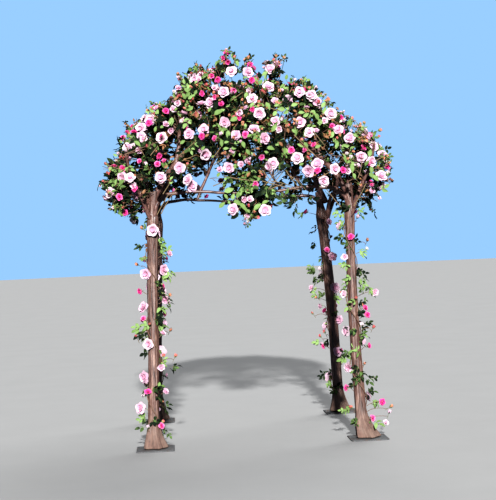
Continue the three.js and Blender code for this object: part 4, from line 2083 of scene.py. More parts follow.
SEEN_LEAVES: dict[LeafShade, tuple[tuple[float, float, float, float], ...]] = {
    LeafShade.BRIGHT: (
        (231, 54, 236, 61), (235, 60, 239, 66), (262, 76, 268, 71), (254, 77, 258, 85), (186, 82, 189, 88),
        (190, 92, 185, 97), (184, 88, 189, 93), (191, 84, 188, 79), (182, 93, 186, 99),
        (193, 106, 188, 111), (188, 99, 193, 95), (197, 90, 194, 95), (178, 111, 181, 117),
        (243, 78, 248, 77), (245, 98, 248, 91), (250, 108, 254, 102), (259, 104, 265, 106),
        (266, 102, 270, 110), (208, 112, 211, 107), (219, 112, 225, 109), (226, 107, 230, 104),
        (195, 84, 197, 80), (281, 92, 284, 83), (284, 90, 288, 86), (274, 106, 279, 104),
        (291, 106, 298, 103), (322, 108, 325, 101), (323, 114, 326, 107), (310, 113, 315, 110),
        (214, 115, 223, 109), (172, 117, 171, 126), (194, 142, 199, 147), (222, 129, 222, 136),
        (228, 130, 228, 139), (221, 140, 222, 147), (224, 143, 229, 141), (223, 149, 229, 148),
        (231, 149, 238, 146), (233, 150, 234, 157), (242, 141, 245, 148), (246, 149, 250, 155),
        (211, 157, 216, 156), (230, 121, 240, 117), (234, 144, 240, 141), (273, 116, 277, 110),
        (268, 123, 274, 128), (276, 124, 272, 132), (267, 147, 275, 149), (264, 151, 270, 155),
        (291, 129, 296, 133), (297, 144, 304, 147), (304, 142, 308, 148), (298, 113, 305, 112),
        (303, 117, 309, 113), (315, 113, 319, 120), (316, 125, 323, 121), (318, 119, 323, 123),
        (315, 148, 321, 145), (330, 138, 334, 131), (335, 140, 339, 146), (336, 149, 338, 142),
        (341, 146, 350, 146), (350, 149, 355, 146), (353, 134, 358, 137), (369, 157, 371, 149),
        (376, 168, 380, 164), (351, 164, 353, 173), (353, 173, 356, 179), (371, 166, 372, 174),
        (369, 173, 375, 178), (373, 175, 379, 181), (126, 134, 133, 139), (134, 141, 141, 146),
        (116, 162, 121, 165), (123, 166, 127, 163), (145, 112, 150, 111), (156, 116, 158, 109),
        (167, 125, 172, 120), (155, 132, 156, 126), (109, 171, 112, 166), (112, 187, 115, 182),
        (128, 213, 135, 209), (131, 216, 138, 211), (133, 208, 140, 206), (134, 219, 139, 217),
        (170, 180, 173, 176), (169, 184, 173, 181), (224, 178, 229, 181), (227, 181, 234, 182),
        (224, 181, 225, 188), (224, 192, 234, 188), (224, 194, 228, 199), (232, 200, 234, 193),
        (219, 208, 225, 202), (226, 200, 231, 204), (233, 200, 241, 205), (239, 203, 247, 210),
        (239, 191, 248, 188), (245, 192, 256, 188), (240, 196, 242, 191), (266, 188, 267, 198),
        (262, 204, 269, 200), (254, 210, 261, 203), (251, 171, 257, 172), (243, 206, 247, 212),
    ),
    LeafShade.OLIVE: (
        (259, 85, 262, 79), (286, 80, 287, 74), (305, 91, 308, 96), (180, 144, 185, 140),
        (221, 129, 228, 129), (201, 150, 205, 146), (267, 119, 271, 116), (258, 127, 264, 130),
        (295, 129, 296, 136), (307, 127, 311, 124), (299, 165, 304, 163), (247, 137, 252, 134),
        (258, 143, 260, 137), (347, 125, 351, 119), (350, 127, 352, 120), (342, 152, 344, 146),
        (359, 130, 361, 124), (365, 166, 369, 160), (347, 163, 351, 160), (379, 163, 384, 160),
        (355, 208, 360, 206), (363, 213, 368, 214), (160, 128, 165, 125), (168, 164, 171, 160),
        (104, 184, 110, 183), (109, 183, 114, 179), (111, 192, 117, 190), (120, 187, 126, 186),
        (241, 177, 245, 178), (217, 177, 220, 172), (237, 198, 239, 191), (284, 154, 286, 148),
        (270, 83, 275, 80), (263, 88, 269, 91), (174, 111, 178, 107), (187, 92, 191, 88),
    ),
    LeafShade.DEEP: (
        (242, 96, 237, 98), (245, 93, 240, 90), (184, 153, 190, 149), (193, 161, 198, 157),
        (308, 104, 313, 106), (299, 105, 305, 103), (363, 193, 370, 192), (370, 208, 369, 199),
        (361, 206, 366, 202), (342, 208, 347, 208), (141, 148, 146, 140), (337, 122, 340, 115),
        (203, 76, 208, 73), (283, 122, 287, 119), (253, 176, 258, 178), (234, 186, 240, 184),
    ),
    LeafShade.BLACK: (
        (233, 56, 235, 51), (219, 70, 218, 62), (221, 72, 224, 66), (243, 72, 243, 64), (245, 61, 247, 58),
        (260, 79, 259, 71), (239, 86, 240, 79), (272, 76, 277, 67), (277, 69, 281, 69), (288, 90, 286, 84),
        (177, 130, 180, 126), (128, 153, 133, 148), (372, 190, 378, 183), (104, 173, 107, 177),
        (110, 172, 113, 177), (115, 174, 120, 172), (123, 192, 130, 197), (231, 219, 239, 213),
        (250, 207, 254, 201), (261, 191, 264, 186), (270, 201, 275, 198), (364, 199, 372, 203),
        (118, 157, 122, 155), (132, 137, 134, 130),
    ),
    LeafShade.COPPER: (
        (183, 161, 187, 158), (182, 164, 186, 166), (205, 137, 209, 134), (221, 154, 225, 152),
        (232, 126, 235, 121), (170, 158, 174, 156), (192, 166, 196, 167), (252, 153, 256, 156),
        (247, 177, 250, 172), (254, 139, 258, 141), (256, 148, 260, 149), (279, 142, 283, 146),
        (287, 128, 289, 133), (307, 152, 311, 155), (331, 119, 335, 121), (381, 158, 385, 156),
        (304, 86, 307, 88), (262, 122, 266, 119), (150, 158, 154, 161), (174, 100, 178, 97),
        (293, 110, 297, 112), (240, 108, 244, 107), (196, 118, 198, 112), (164, 168, 168, 165),
        (313, 90, 316, 93), (336, 107, 339, 110), (143, 194, 145, 189), (218, 101, 222, 99),
    ),
}  # fmt: skip

SEEN_LEFT_POST: Seen = {
    Growth.OPEN_PALE: (
        (153, 230), (146, 274), (163, 270), (144, 308), (149, 344), (145, 377), (141, 408), (164, 300),
    ),
    Growth.OPEN_HOT: ((162, 286), (140, 291), (148, 392), (161, 426)),
    Growth.HALF_PALE: ((163, 323), (165, 392), (162, 334), (161, 367), (168, 254)),
    Growth.HALF_HOT: ((144, 319),),
    Growth.BUD_CORAL: (
        (138, 265), (143, 229), (169, 296), (170, 331), (137, 338), (163, 357), (175, 357), (162, 402),
        (150, 325),
    ),
    Growth.BUD_PINK: ((148, 428), (147, 384)),
    Growth.LIGHT_LEAVES: (
        (143, 257), (162, 243), (165, 250), (164, 278), (169, 274), (165, 292), (164, 308), (146, 325),
        (138, 328), (142, 338), (165, 363), (159, 385), (142, 417), (161, 326),
    ),
    Growth.DARK_LEAVES: (
        (141, 245), (144, 221), (157, 282), (159, 291), (170, 300), (159, 315), (156, 320), (143, 331),
        (145, 352), (172, 368), (155, 388), (159, 397), (167, 403), (154, 419), (165, 433), (144, 424),
    ),
}  # fmt: skip
SEEN_RIGHT_POST: Seen = {
    Growth.OPEN_PALE: ((347, 331), (349, 367)),
    Growth.OPEN_HOT: ((351, 237), (365, 308), (367, 315), (372, 418), (347, 388), (382, 402)),
    Growth.HALF_PALE: ((345, 294), (375, 292), (385, 423), (345, 257)),
    Growth.HALF_HOT: ((368, 346),),
    Growth.BUD_CORAL: ((367, 241), (356, 299), (373, 328), (364, 364), (390, 407), (362, 306), (352, 408)),
    Growth.BUD_PINK: ((357, 218), (366, 250), (389, 413)),
    Growth.LIGHT_LEAVES: (
        (338, 214), (342, 222), (359, 211), (363, 252), (349, 278), (361, 282), (370, 291), (350, 303),
        (366, 332), (358, 349), (344, 358), (347, 410), (375, 426), (376, 403), (345, 265),
    ),
    Growth.DARK_LEAVES: (
        (345, 209), (348, 243), (356, 242), (362, 269), (363, 275), (367, 286), (363, 302), (358, 314),
        (353, 330), (366, 323), (362, 342), (346, 352), (356, 367), (358, 380), (354, 385), (373, 378),
        (372, 392), (357, 423), (362, 376), (341, 236),
    ),
}  # fmt: skip
SEEN_BACK_RIGHT_POST: Seen = {
    Growth.OPEN_PALE: ((332, 257), (335, 288), (339, 320), (337, 352)),
    Growth.OPEN_HOT: ((327, 250), (325, 311)),
    Growth.HALF_PALE: ((321, 306), (328, 222), (312, 288)),
    Growth.HALF_HOT: ((307, 212), (324, 346)),
    Growth.BUD_CORAL: ((324, 219), (317, 298), (313, 314), (325, 333), (321, 337)),
    Growth.BUD_PINK: ((323, 345),),
    Growth.LIGHT_LEAVES: (
        (311, 267), (314, 271), (315, 292), (321, 295), (336, 297), (318, 342), (328, 382), (302, 212),
    ),
    Growth.DARK_LEAVES: (
        (314, 227), (312, 243), (313, 277), (319, 277), (334, 313), (326, 342), (322, 374), (337, 387),
        (334, 391),
    ),
}  # fmt: skip


# The dome of foliage and flowers


LEAF_TONES = {Growth.LIGHT_LEAVES: 0.78, Growth.DARK_LEAVES: 0.2}
TO_SUN = np.array((-0.012, -0.92, 0.39))
HIDDEN_FLOWERS = {
    Growth.OPEN_PALE: 0.46,
    Growth.OPEN_HOT: 0.27,
    Growth.HALF_PALE: 0.16,
    Growth.HALF_HOT: 0.11,
}
SPRIG_BUDS = (Growth.BUD_CORAL, Growth.BUD_CORAL, Growth.BUD_PINK)
Chosen = TypeVar("Chosen")


@dataclass
class Growing:
    """What the dome and the garlands share: what grows on them, chosen and turned by chance."""

    finishes: Finishes
    flowers: dict[Growth, list[Template]]
    sprays: list[Template]
    rng: Generator = field(init=False)
    stalks: list[Limb] = field(default_factory=list, init=False)

    def stray(self, amount: float) -> Vector:
        """A small random direction."""
        return Vector(self.rng.normal(0, amount, 3))

    def pick(self, choices: Sequence[Chosen]) -> Chosen:
        """One of several, by chance."""
        return choices[self.rng.integers(len(choices))]


@dataclass
class Canopy(Growing):
    """The dome: leaf sprays, flowers and thin twigs over the clumps of every foliage node."""

    surface: FoliageSurface
    single_leaves: list[Template]
    seed: int = 29
    seen_sprays: int = 3
    seen_spread: float = 0.022
    seen_lift: Pair = (0.02, 0.06)
    seen_size: float = 0.95
    tone_spread: float = 0.15
    spray_stray: float = 0.6
    spray_start: float = 0.05
    spray_checks: tuple[float, ...] = (0.02, 0.06, 0.1, 0.135)
    spray_density: float = 215.0
    spray_size: Pair = (0.72, 1.05)
    small_size: Pair = (0.45, 0.7)
    large_share: float = 0.6
    tuft_size: float = 0.14
    bare_share: float = 0.22
    inner_share: float = 0.8
    inside: float = -0.2
    deepest: float = 0.03
    highest: float = 0.045
    shade_density: float = 150.0
    shade_depth: Pair = (0.02, 0.075)
    shade_tone: Pair = (-0.25, 0.12)
    shade_size: Pair = (0.9, 1.25)
    raggedness: float = 4.5
    light_share: float = 0.64
    light_tone: float = 0.64
    light_spread: float = 0.2
    dark_tone: float = 0.02
    dark_spread: float = 0.1
    shoot_share: float = 0.42
    shoot_size: float = 0.6
    flower_spacing: float = 0.115
    flower_density: float = 130.0
    flower_margin: float = 9.0
    flower_sizes: Pair = (0.93, 1.1)
    facing_stray: float = 0.26
    bud_density: float = 14.0
    buds_together: int = 2
    bud_sizes: Pair = (0.8, 1.1)
    bud_stray: float = 0.35
    bud_root: float = 0.03
    bud_lift: float = 0.04
    bud_drop: float = 0.02
    bud_spread: float = 0.018
    bud_stalk: float = 0.045
    bud_radii: Pair = (0.0022, 0.0018)
    leaf_stalk_radii: Pair = (0.0018, 0.0014)
    hold_depth: float = 0.14
    hold_radii: Pair = (0.003, 0.002)
    stem_radii: Pair = (0.004, 0.0026)
    sprig_radii: Pair = (0.0035, 0.0022)
    sprig_bud_sizes: Pair = (0.8, 1.05)
    sprig_leaves: tuple[float, ...] = (0.35, 0.55, 0.75, 0.92)
    sprig_leaf_size: Pair = (0.42, 0.7)
    sprig_reach: float = 5.0
    twig_density: float = 30.0
    twig_reach: float = 0.75
    twig_radii: Pair = (0.005, 0.0022)
    flower_radius: float = 3.8
    leaf_radius: float = 2.4
    sunlit_radius: float = 0.03
    sunlit_reach: float = 0.15
    bough_reach: float = 0.42
    leaves: dict[str, Batch] = field(default_factory=dict)
    blooms: dict[str, Batch] = field(default_factory=dict)
    taken: list[Vector] = field(default_factory=list)
    stems: list[Limb] = field(default_factory=list)
    shown: list[tuple[PixelPoint, Vector, float]] = field(default_factory=list)
    shown_places: np.ndarray | None = None

    def __post_init__(self) -> None:
        """Starts an empty batch of leaves and of flowers for each node."""
        self.rng = np.random.default_rng(self.seed)
        for node in FOLIAGE_NODES:
            self.leaves[node] = Batch("leaves_" + node, self.finishes.foliage)
            self.blooms[node] = Batch("blooms_" + node, self.finishes.blooms)

    def shades(self, pixel: PixelPoint, point: Vector) -> bool:
        """Whether something at a place would hide or shade a flower of the photograph.

        Args:
            pixel: The pixel in which the place shows.
            point: The place.

        Returns:
            True if it would.
        """
        if self.shown_places is None:
            growth = [(*seen, *place, size, self.sunlit_reach) for seen, place, size in self.shown]
            boughs = [
                (*seen, *place, self.flower_radius, self.bough_reach)
                for stroke in OPEN_PLACES
                for seen, place in stroke.lit_points()
            ]
            self.shown_places = np.array(growth + boughs)
        seen, places, radius, reach = np.split(self.shown_places, (2, 5, 6), axis=1)
        aside = np.hypot(seen[:, 0] - pixel[0], seen[:, 1] - pixel[1])
        if np.any((aside < radius[:, 0]) & (places[:, 1] > point.y)):
            return True
        away = np.array(point) - places
        along = away @ TO_SUN
        off = np.linalg.norm(away - along[:, None] * TO_SUN, axis=1)
        return bool(np.any((along > 0.01) & (along < reach[:, 0]) & (off < self.sunlit_radius)))

    def free(self, point: Vector, margin: float = 0.0) -> bool:
        """Whether something may grow at a place, as the photograph shows.

        Args:
            point: The place.
            margin: How far inside the outline it has to be, in pixels.

        Returns:
            True if it may.
        """
        pixel = VIEW.pixel(point)
        if not in_outline(pixel, margin) or not in_box(point) or in_open_place(pixel, point.y):
            return False
        return not self.shades(pixel, point)

    def add_spray(
        self, spot: Spot, lift: float, size: float, tone: float, margin: float = 0.0
    ) -> None:
        """Puts a leaf spray on the foliage, unless it would hang into an open place.

        Args:
            spot: Where it goes.
            lift: How far it stands off the clump.
            size: Its scale.
            tone: Its shade, 0 for near black, for old leaves and painted shade, to 1 for young and light.
            margin: How far inside the photographed outline it stays, in pixels.
        """
        facing = (spot.normal + UP * 0.3 + self.stray(self.spray_stray)).normalized()
        heading = (self.stray(1.0) + spot.normal * 0.5 + UP * 0.15).normalized()
        start = spot.point + spot.normal * lift - heading * self.spray_start * size
        template = self.pick(self.sprays)
        if all(self.free(start + heading * reach * size, margin) for reach in self.spray_checks):
            matrix = basis(facing, heading, start, size)
            self.leaves[spot.node].stamp(template, matrix, clamped(tone))

    def stamp_bloom(
        self, batch: Batch, kind: Growth, facing: Vector, point: Vector, sizes: Pair
    ) -> None:
        """Puts one flower or bud at a place, turned by chance about its own axis.

        Args:
            batch: The batch that it goes into.
            kind: What kind it is.
            facing: Where its face points.
            point: Where its stalk starts.
            sizes: Its least and greatest scale.
        """
        template = self.pick(self.flowers[kind])
        matrix = basis(facing, self.stray(1.0), point, self.rng.uniform(*sizes))
        batch.stamp(template, matrix, self.rng.random())

    def add_flower(self, kind: Growth, spot: Spot, to_photo: float) -> None:
        """Puts a flower on the foliage.

        Args:
            kind: The kind of flower.
            spot: Where it goes.
            to_photo: How much it turns towards the camera, from 0 to 1.
        """
        plan = FLOWER_PLANS[kind]
        towards = VIEW.towards(spot.point)
        facing = spot.normal * (1 - to_photo) + towards * to_photo + UP * 0.15
        facing = (facing.normalized() + self.stray(self.facing_stray)).normalized()
        out = towards if to_photo > 0 else spot.normal
        head = spot.point + out * (plan.lift + plan.heart_height)
        point = head - facing * plan.heart_height
        smallest, largest = (plan.size * size for size in self.flower_sizes)
        self.stamp_bloom(self.blooms[spot.node], kind, facing, point, (smallest, largest))

    def add_buds(self, kind: Growth, spot: Spot, out: Vector) -> None:
        """Puts a few buds on stalks that fan out from one place.

        Args:
            kind: The kind of bud.
            spot: Where they go.
            out: The direction in which they stand off the leaves.
        """
        base = spot.point - spot.normal * self.bud_root
        for _ in range(self.buds_together):
            facing = (spot.normal + UP * 0.5 + self.stray(self.bud_stray)).normalized()
            point = spot.point + out * self.bud_lift - facing * self.bud_drop
            point += self.stray(self.bud_spread)
            self.stamp_bloom(self.blooms[spot.node], kind, facing, point, self.bud_sizes)
            self.stalks.append(Limb((base, point - facing * self.bud_stalk), *self.bud_radii))
        self.add_spray(spot, 0.0, 0.75, self.rng.uniform(0.3, 1.0))

    def seen_flowers(self) -> None:
        """Places the flowers that show in the photograph."""
        for kind, plan in FLOWER_PLANS.items():
            for pixel in SEEN_CANOPY[kind]:
                spot = self.surface.seen(pixel)
                self.hold(spot)
                if plan.bud:
                    self.add_buds(kind, spot, VIEW.towards(spot.point))
                    continue
                self.add_flower(kind, spot, plan.to_photo)
                self.taken.append(spot.point)
                self.shown.append((pixel, spot.point, self.flower_radius))

    def seen_leaves(self) -> None:
        """Places the dark sprigs that show in the photograph; their dark green is partly painted shade."""
        for pixel in SEEN_CANOPY[Growth.DARK_LEAVES]:
            spot = self.surface.seen(pixel)
            self.hold(spot)
            for _ in range(self.seen_sprays):
                near = Spot(spot.node, spot.point + self.stray(self.seen_spread), spot.normal)
                # The dark tone stands partly for painted shade in the dome's hollows.
                tone = LEAF_TONES[Growth.DARK_LEAVES]
                tone += self.rng.uniform(-self.tone_spread, self.tone_spread)
                self.add_spray(near, self.rng.uniform(*self.seen_lift), self.seen_size, tone)

    def single_seen_leaves(self) -> None:
        """Places the single leaves that show in the photograph, from their base to their tip."""
        for shade, strokes in SEEN_LEAVES.items():
            for stroke in strokes:
                self.add_leaf(shade, stroke[:2], stroke[2:])

    def add_leaf(self, shade: LeafShade, base: PixelPoint, tip: PixelPoint) -> None:
        """Puts one leaf in front of the foliage, with a stalk back to it.

        Args:
            shade: The leaf's shade.
            base: The pixel of its base.
            tip: The pixel of its tip.
        """
        pixel = ((base[0] + tip[0]) / 2, (base[1] + tip[1]) / 2)
        spot = self.surface.seen(pixel)
        depth = spot.point.y - self.rng.uniform(0.04, 0.07)
        start, end = VIEW.at_depth(base, depth), VIEW.at_depth(tip, depth)
        heading = end - start
        facing = Vector(TO_SUN) + VIEW.towards(start) + self.stray(0.3)
        facing -= heading * (facing.dot(heading) / heading.length_squared)
        template = self.pick(self.single_leaves)
        matrix = basis(facing, heading, start, heading.length / LeafMaker.leaflet_length)
        tone = min(1.0, shade.value + self.rng.uniform(-0.12, 0.12) * (shade.value < 1))
        self.leaves[spot.node].stamp(template, matrix, tone)
        self.stalks.append(Limb((self.surface.nearest(start), start), *self.leaf_stalk_radii))
        if shade is not LeafShade.BLACK:
            self.shown.append((pixel, start.lerp(end, 0.5), self.leaf_radius))

    def outline_sprigs(self) -> None:
        """Grows the sprigs that stick out of the foliage: a stem with small leaves and a bud."""
        for path in OUTLINE_SPRIGS:
            base = self.surface.seen(path[0])
            depths = (base.point.y + self.rng.uniform(-0.03, 0.03) for _ in path)
            points = [VIEW.at_depth(pixel, depth) for pixel, depth in zip(path, depths)]
            stem = Limb(tuple(points), *self.sprig_radii)
            self.stems.append(stem)
            tip, heading = points[-1], (points[-1] - points[-2]).normalized()
            point, kind = tip - heading * self.bud_root, self.pick(SPRIG_BUDS)
            self.stamp_bloom(self.blooms[base.node], kind, heading, point, self.sprig_bud_sizes)
            for share in self.sprig_leaves:
                self.sprig_leaf(base.node, stem.at(share), heading)

    def sprig_leaf(self, node: str, point: Vector, heading: Vector) -> None:
        """Puts one small leaf spray on a sprig's stem.

        Args:
            node: The foliage that it belongs to.
            point: Where it leaves the stem.
            heading: Where the stem points.
        """
        out = (heading * 0.5 + self.stray(0.7)).normalized()
        template = self.pick(self.sprays[: len(self.sprays) // 2])
        size = self.rng.uniform(*self.sprig_leaf_size)
        matrix = basis(self.stray(1.0), out, point, size)
        tip = point + out * 0.1 * size
        if in_box(tip) and in_outline(VIEW.pixel(tip), -self.sprig_reach):
            self.leaves[node].stamp(template, matrix, self.rng.uniform(0.1, 0.9))

    def crossing_stems(self) -> None:
        """Runs the thin stems that show in front of the leaves."""
        for path in CROSSING_STEMS:
            depth = min(self.surface.seen(pixel).point.y for pixel in path) - 0.04
            points = tuple(VIEW.at_depth(pixel, depth) for pixel in path)
            self.stems.append(Limb(points, *self.stem_radii))

    def hold(self, spot: Spot) -> None:
        """Runs a thin stalk to a flower from inside the clump nearest to it.

        Args:
            spot: The flower's place.
        """
        root = self.surface.nearest(spot.point)
        inside = root + (DOME_MIDDLE - root).normalized() * self.hold_depth
        middle = inside.lerp(spot.point, 0.6) + self.stray(0.012)
        self.stalks.append(Limb((inside, middle, spot.point.copy()), *self.hold_radii))

    def outward(self, spot: Spot) -> float:
        """How much a place faces away from the dome's middle, from -1 to 1."""
        return spot.normal.dot((spot.point - DOME_MIDDLE).normalized())

    def hidden_flowers(self) -> None:
        """Scatters flowers as densely where the photograph doesn't reach."""
        kinds, odds = tuple(HIDDEN_FLOWERS), tuple(HIDDEN_FLOWERS.values())
        for spot in self.surface.spots(self.flower_density, self.rng):
            if self.outward(spot) < 0.1 or self.surface.faces_photo(spot):
                continue
            if not self.free(spot.point, self.flower_margin):
                continue
            if any((spot.point - other).length < self.flower_spacing for other in self.taken):
                continue
            self.add_flower(kinds[self.rng.choice(len(kinds), p=odds)], spot, 0.0)
            self.taken.append(spot.point)
        for spot in self.surface.spots(self.bud_density, self.rng):
            if self.outward(spot) > 0.0 and self.free(spot.point):
                kind = Growth.BUD_CORAL if self.rng.random() < 0.75 else Growth.BUD_PINK
                self.add_buds(kind, spot, spot.normal)

    def shaded_leaves(self) -> None:
        """Fills the clumps under their cover with near-black leaves, painted shade."""
        for spot in self.surface.spots(self.shade_density, self.rng):
            if self.outward(spot) > self.inside:
                depth = self.rng.uniform(*self.shade_depth)
                # Painted shade: tones near 0 make these leaves near black.
                tone = self.rng.uniform(*self.shade_tone)
                size = self.rng.uniform(*self.shade_size)
                self.add_spray(spot, -depth, size, tone, self.raggedness)

    def leaf_cover(self) -> None:
        """Covers the clumps with tufts of leaf sprays: painted light makes those that face the sun more
        often light, and painted shade makes those inside the dome dark.
        """
        sun = Vector((0.0, -0.8, 0.6))
        for spot in self.surface.spots(self.spray_density, self.rng):
            tuft = noise.noise(spot.point / self.tuft_size)
            inner = self.outward(spot) < self.inside
            if inner and self.rng.random() > self.inner_share:
                continue
            if tuft < self.bare_share * 2 - 1 + self.rng.normal(0, 0.1):
                continue
            lift = self.rng.uniform(-self.deepest, self.highest)
            # Painted light: sprays that face the sun are more often light.
            light = self.rng.random() < self.light_share + 0.7 * tuft + 0.12 * spot.normal.dot(sun)
            # Painted shade: sprays on the dome's inner side get the dark tone.
            lit = light and not inner
            tone = self.light_tone if lit else self.dark_tone
            tone += self.rng.normal(0, self.light_spread if lit else self.dark_spread)
            tone = min(tone, self.light_tone + 0.2)
            margin = abs(self.rng.normal(0, self.raggedness))
            large = self.rng.random() < self.large_share
            size = self.rng.uniform(*(self.spray_size if large else self.small_size))
            if light and self.rng.random() < self.shoot_share:
                tone = 1.0
                size *= self.shoot_size
            self.add_spray(spot, lift, size, tone, margin)

    def twigs(self, boughs: Sequence[Limb]) -> None:
        """Runs thin twigs from the boughs out to the foliage.

        Args:
            boughs: Every bough that a twig may leave.
        """
        stations = [limb.at(share) for limb in boughs for share in np.linspace(0.25, 1.0, 9)]
        for spot in self.surface.spots(self.twig_density, self.rng):
            near = sorted(stations, key=lambda station: (station - spot.point).length)[:4]
            start = self.pick(near)
            reach = (spot.point - start).length
            end = spot.point + spot.normal * self.rng.uniform(-0.01, 0.065)
            middle = start.lerp(spot.point, 0.5) + UP * 0.1 * reach + self.stray(0.03)
            if reach > self.twig_reach or not in_outline(VIEW.pixel(end)) or not in_box(end):
                continue
            path = (start.lerp(middle, 0.5), middle, middle.lerp(end, 0.5), end)
            if not any(in_open_place(VIEW.pixel(point), point.y) for point in path):
                self.stalks.append(Limb((start, middle, end), *self.twig_radii))

    def build(self, boughs: Sequence[Limb]) -> None:
        """Fills every node of the dome and settles its pieces.

        Args:
            boughs: The boughs that carry it.
        """
        self.seen_flowers()
        self.seen_leaves()
        self.single_seen_leaves()
        self.outline_sprigs()
        self.crossing_stems()
        self.hidden_flowers()
        self.shaded_leaves()
        self.leaf_cover()
        self.twigs(boughs)
        for node in FOLIAGE_NODES:
            settle(self.leaves[node].build(), [node])
            settle(self.blooms[node].build())
        settle(tubes("canopy_twigs", self.stalks, self.finishes.twig, 0))
        settle(tubes("canopy_stems", self.stems, self.finishes.pale_stem, 0))


# The garlands


@dataclass
class Garland(Growing):
    """A vine wound round one trunk, with the roses, buds and leaves on it."""

    corner: Corner
    seen: Seen
    top: float = 1.88
    foot: float = 0.15
    turns: float = 3.0
    vine_radius: float = 0.004
    clearance: float = 0.007
    steps: int = 90
    hidden_sprays: int = 32
    hidden_flowers: int = 14
    to_photo: float = 0.45
    flower_ring: float = 0.02
    flower_sizes: Pair = (0.98, 1.13)
    stalk_radii: Pair = (0.0026, 0.002)
    stalk_start: float = 0.03
    seen_sprays: int = 3
    seen_spread: float = 0.014
    spray_sizes: Pair = (0.6, 0.9)
    spray_start: float = 0.045
    spray_reach: float = 0.13
    lowest: float = 0.03
    darkest: float = 0.22
    tone_spread: float = 0.15

    def __post_init__(self) -> None:
        """Starts its batches and its own random generator."""
        self.rng = np.random.default_rng(int(self.corner.phase * 100))
        self.leaves = Batch("garland_leaves_" + self.corner.label, self.finishes.foliage)
        self.blooms = Batch("garland_blooms_" + self.corner.label, self.finishes.blooms)

    def vine_point(self, share: float) -> Vector:
        """A point of the vine, from 0 at the top to 1 at the foot.

        Args:
            share: The share of the way.

        Returns:
            The point.
        """
        z = self.top + (self.foot - self.top) * share
        turn = self.corner.phase + 2 * math.pi * self.turns * share
        radius = POSTS.radius(self.corner, z, turn) + self.vine_radius + self.clearance
        return POSTS.axis(self.corner, z) + Vector((math.cos(turn), math.sin(turn), 0)) * radius

    def away(self, point: Vector) -> Vector:
        """The level direction from the trunk's axis to a point."""
        axis = POSTS.axis(self.corner, point.z)
        return Vector((point.x - axis.x, point.y - axis.y, 0)).normalized()

    def seen_place(self, pixel: PixelPoint) -> Vector:
        """Where something in the photograph sits round this trunk.

        Args:
            pixel: The pixel in which it shows.

        Returns:
            Its place, in front of the trunk or at its side.
        """
        axis = POSTS.axis(self.corner, 1.0)
        for _ in range(2):
            point = VIEW.at_depth(pixel, axis.y)
            axis = POSTS.axis(self.corner, max(0.05, min(point.z, POSTS.leader_top)))
        ring = POSTS.radius(self.corner, point.z) + self.flower_ring
        forward = math.sqrt(max(0.0, ring**2 - (point.x - axis.x) ** 2))
        if forward == 0.0:
            forward = self.rng.uniform(-0.02, 0.04)
        return VIEW.at_depth(pixel, axis.y - forward)

    def add_flower(self, kind: Growth, point: Vector, to_photo: float) -> None:
        """Puts a flower at a place and runs its stalk back to the trunk.

        Args:
            kind: The kind of flower.
            point: Its place.
            to_photo: How much it turns towards the camera, from 0 to 1.
        """
        plan = FLOWER_PLANS[kind]
        away = self.away(point)
        lifted = UP * (0.8 if plan.bud else 0.1)
        facing = away * (1 - to_photo) + VIEW.towards(point) * to_photo + lifted + self.stray(0.2)
        template = self.pick(self.flowers[kind])
        size = plan.size * self.rng.uniform(*self.flower_sizes)
        self.blooms.stamp(template, basis(facing, self.stray(1.0), point, size), self.rng.random())
        axis = POSTS.axis(self.corner, point.z)
        ring = POSTS.radius(self.corner, point.z) + self.vine_radius
        held = axis + away * ring - UP * self.stalk_start
        reach = (point - held).length
        middle = held.lerp(point, 0.5) + UP * 0.2 * reach + self.stray(0.004 + 0.1 * reach)
        end = point - facing.normalized() * self.stalk_start
        self.stalks.append(Limb((held, middle, end), *self.stalk_radii))

    def add_spray(self, point: Vector, tone: float, sideways: float = 0.0) -> None:
        """Puts a leaf spray near the vine, spreading away from the trunk.

        Args:
            point: Its middle.
            tone: Its shade, 0 for old and dark to 1 for young and light.
            sideways: How strongly it keeps off the trunk's front.
        """
        away = self.away(point)
        around = away.cross(UP)
        heading = away * self.rng.uniform(0.1, 0.9) + around * self.rng.normal(0, 0.6)
        heading += UP * self.rng.normal(0.0, 0.7)
        heading += Vector((math.copysign(sideways, away.x), 0, 0))
        heading = heading.normalized()
        facing = away * 0.6 + UP * 0.4 + self.stray(0.4)
        if sideways:
            facing += Vector(TO_SUN) * 0.9
        size = self.rng.uniform(*self.spray_sizes)
        start = point - heading * self.spray_start * size
        if min(start.z, start.z + heading.z * self.spray_reach * size) < self.lowest:
            return
        few = len(self.sprays) // 2
        template = self.pick(self.sprays[:few] if sideways else self.sprays)
        self.leaves.stamp(template, basis(facing.normalized(), heading, start, size), clamped(tone))

    def seen_growth(self) -> None:
        """Places what the photograph shows on this trunk."""
        for kind, pixels in self.seen.items():
            for pixel in pixels:
                point = self.seen_place(pixel)
                if kind not in LEAF_TONES:
                    self.add_flower(kind, point, self.to_photo)
                    continue
                for _ in range(self.seen_sprays):
                    tone = max(self.darkest, LEAF_TONES[kind])
                    tone += self.rng.uniform(-self.tone_spread, self.tone_spread)
                    self.add_spray(point + self.stray(self.seen_spread), tone, sideways=1.0)

    def hidden_growth(self) -> None:
        """Places flowers and leaves where the photograph doesn't reach."""
        order = (Growth.OPEN_PALE, Growth.BUD_CORAL, Growth.OPEN_HOT, Growth.HALF_PALE)
        for i in range(self.hidden_flowers):
            point = self.vine_point((i + self.rng.uniform(0.2, 0.8)) / self.hidden_flowers)
            away = self.away(point)
            if self.seen and away.y < 0.35:
                away = Vector((away.x, abs(away.y) + 0.4, 0)).normalized()
            axis = POSTS.axis(self.corner, point.z)
            reach = POSTS.radius(self.corner, point.z) + self.rng.uniform(0.02, 0.05)
            self.add_flower(order[i % len(order)], axis + away * reach, 0.0)
        for i in range(self.hidden_sprays):
            point = self.vine_point((i + self.rng.uniform(0, 1)) / self.hidden_sprays)
            if not self.seen or self.away(point).y > 0.2:
                self.add_spray(point, self.rng.normal(0.45, 0.25))

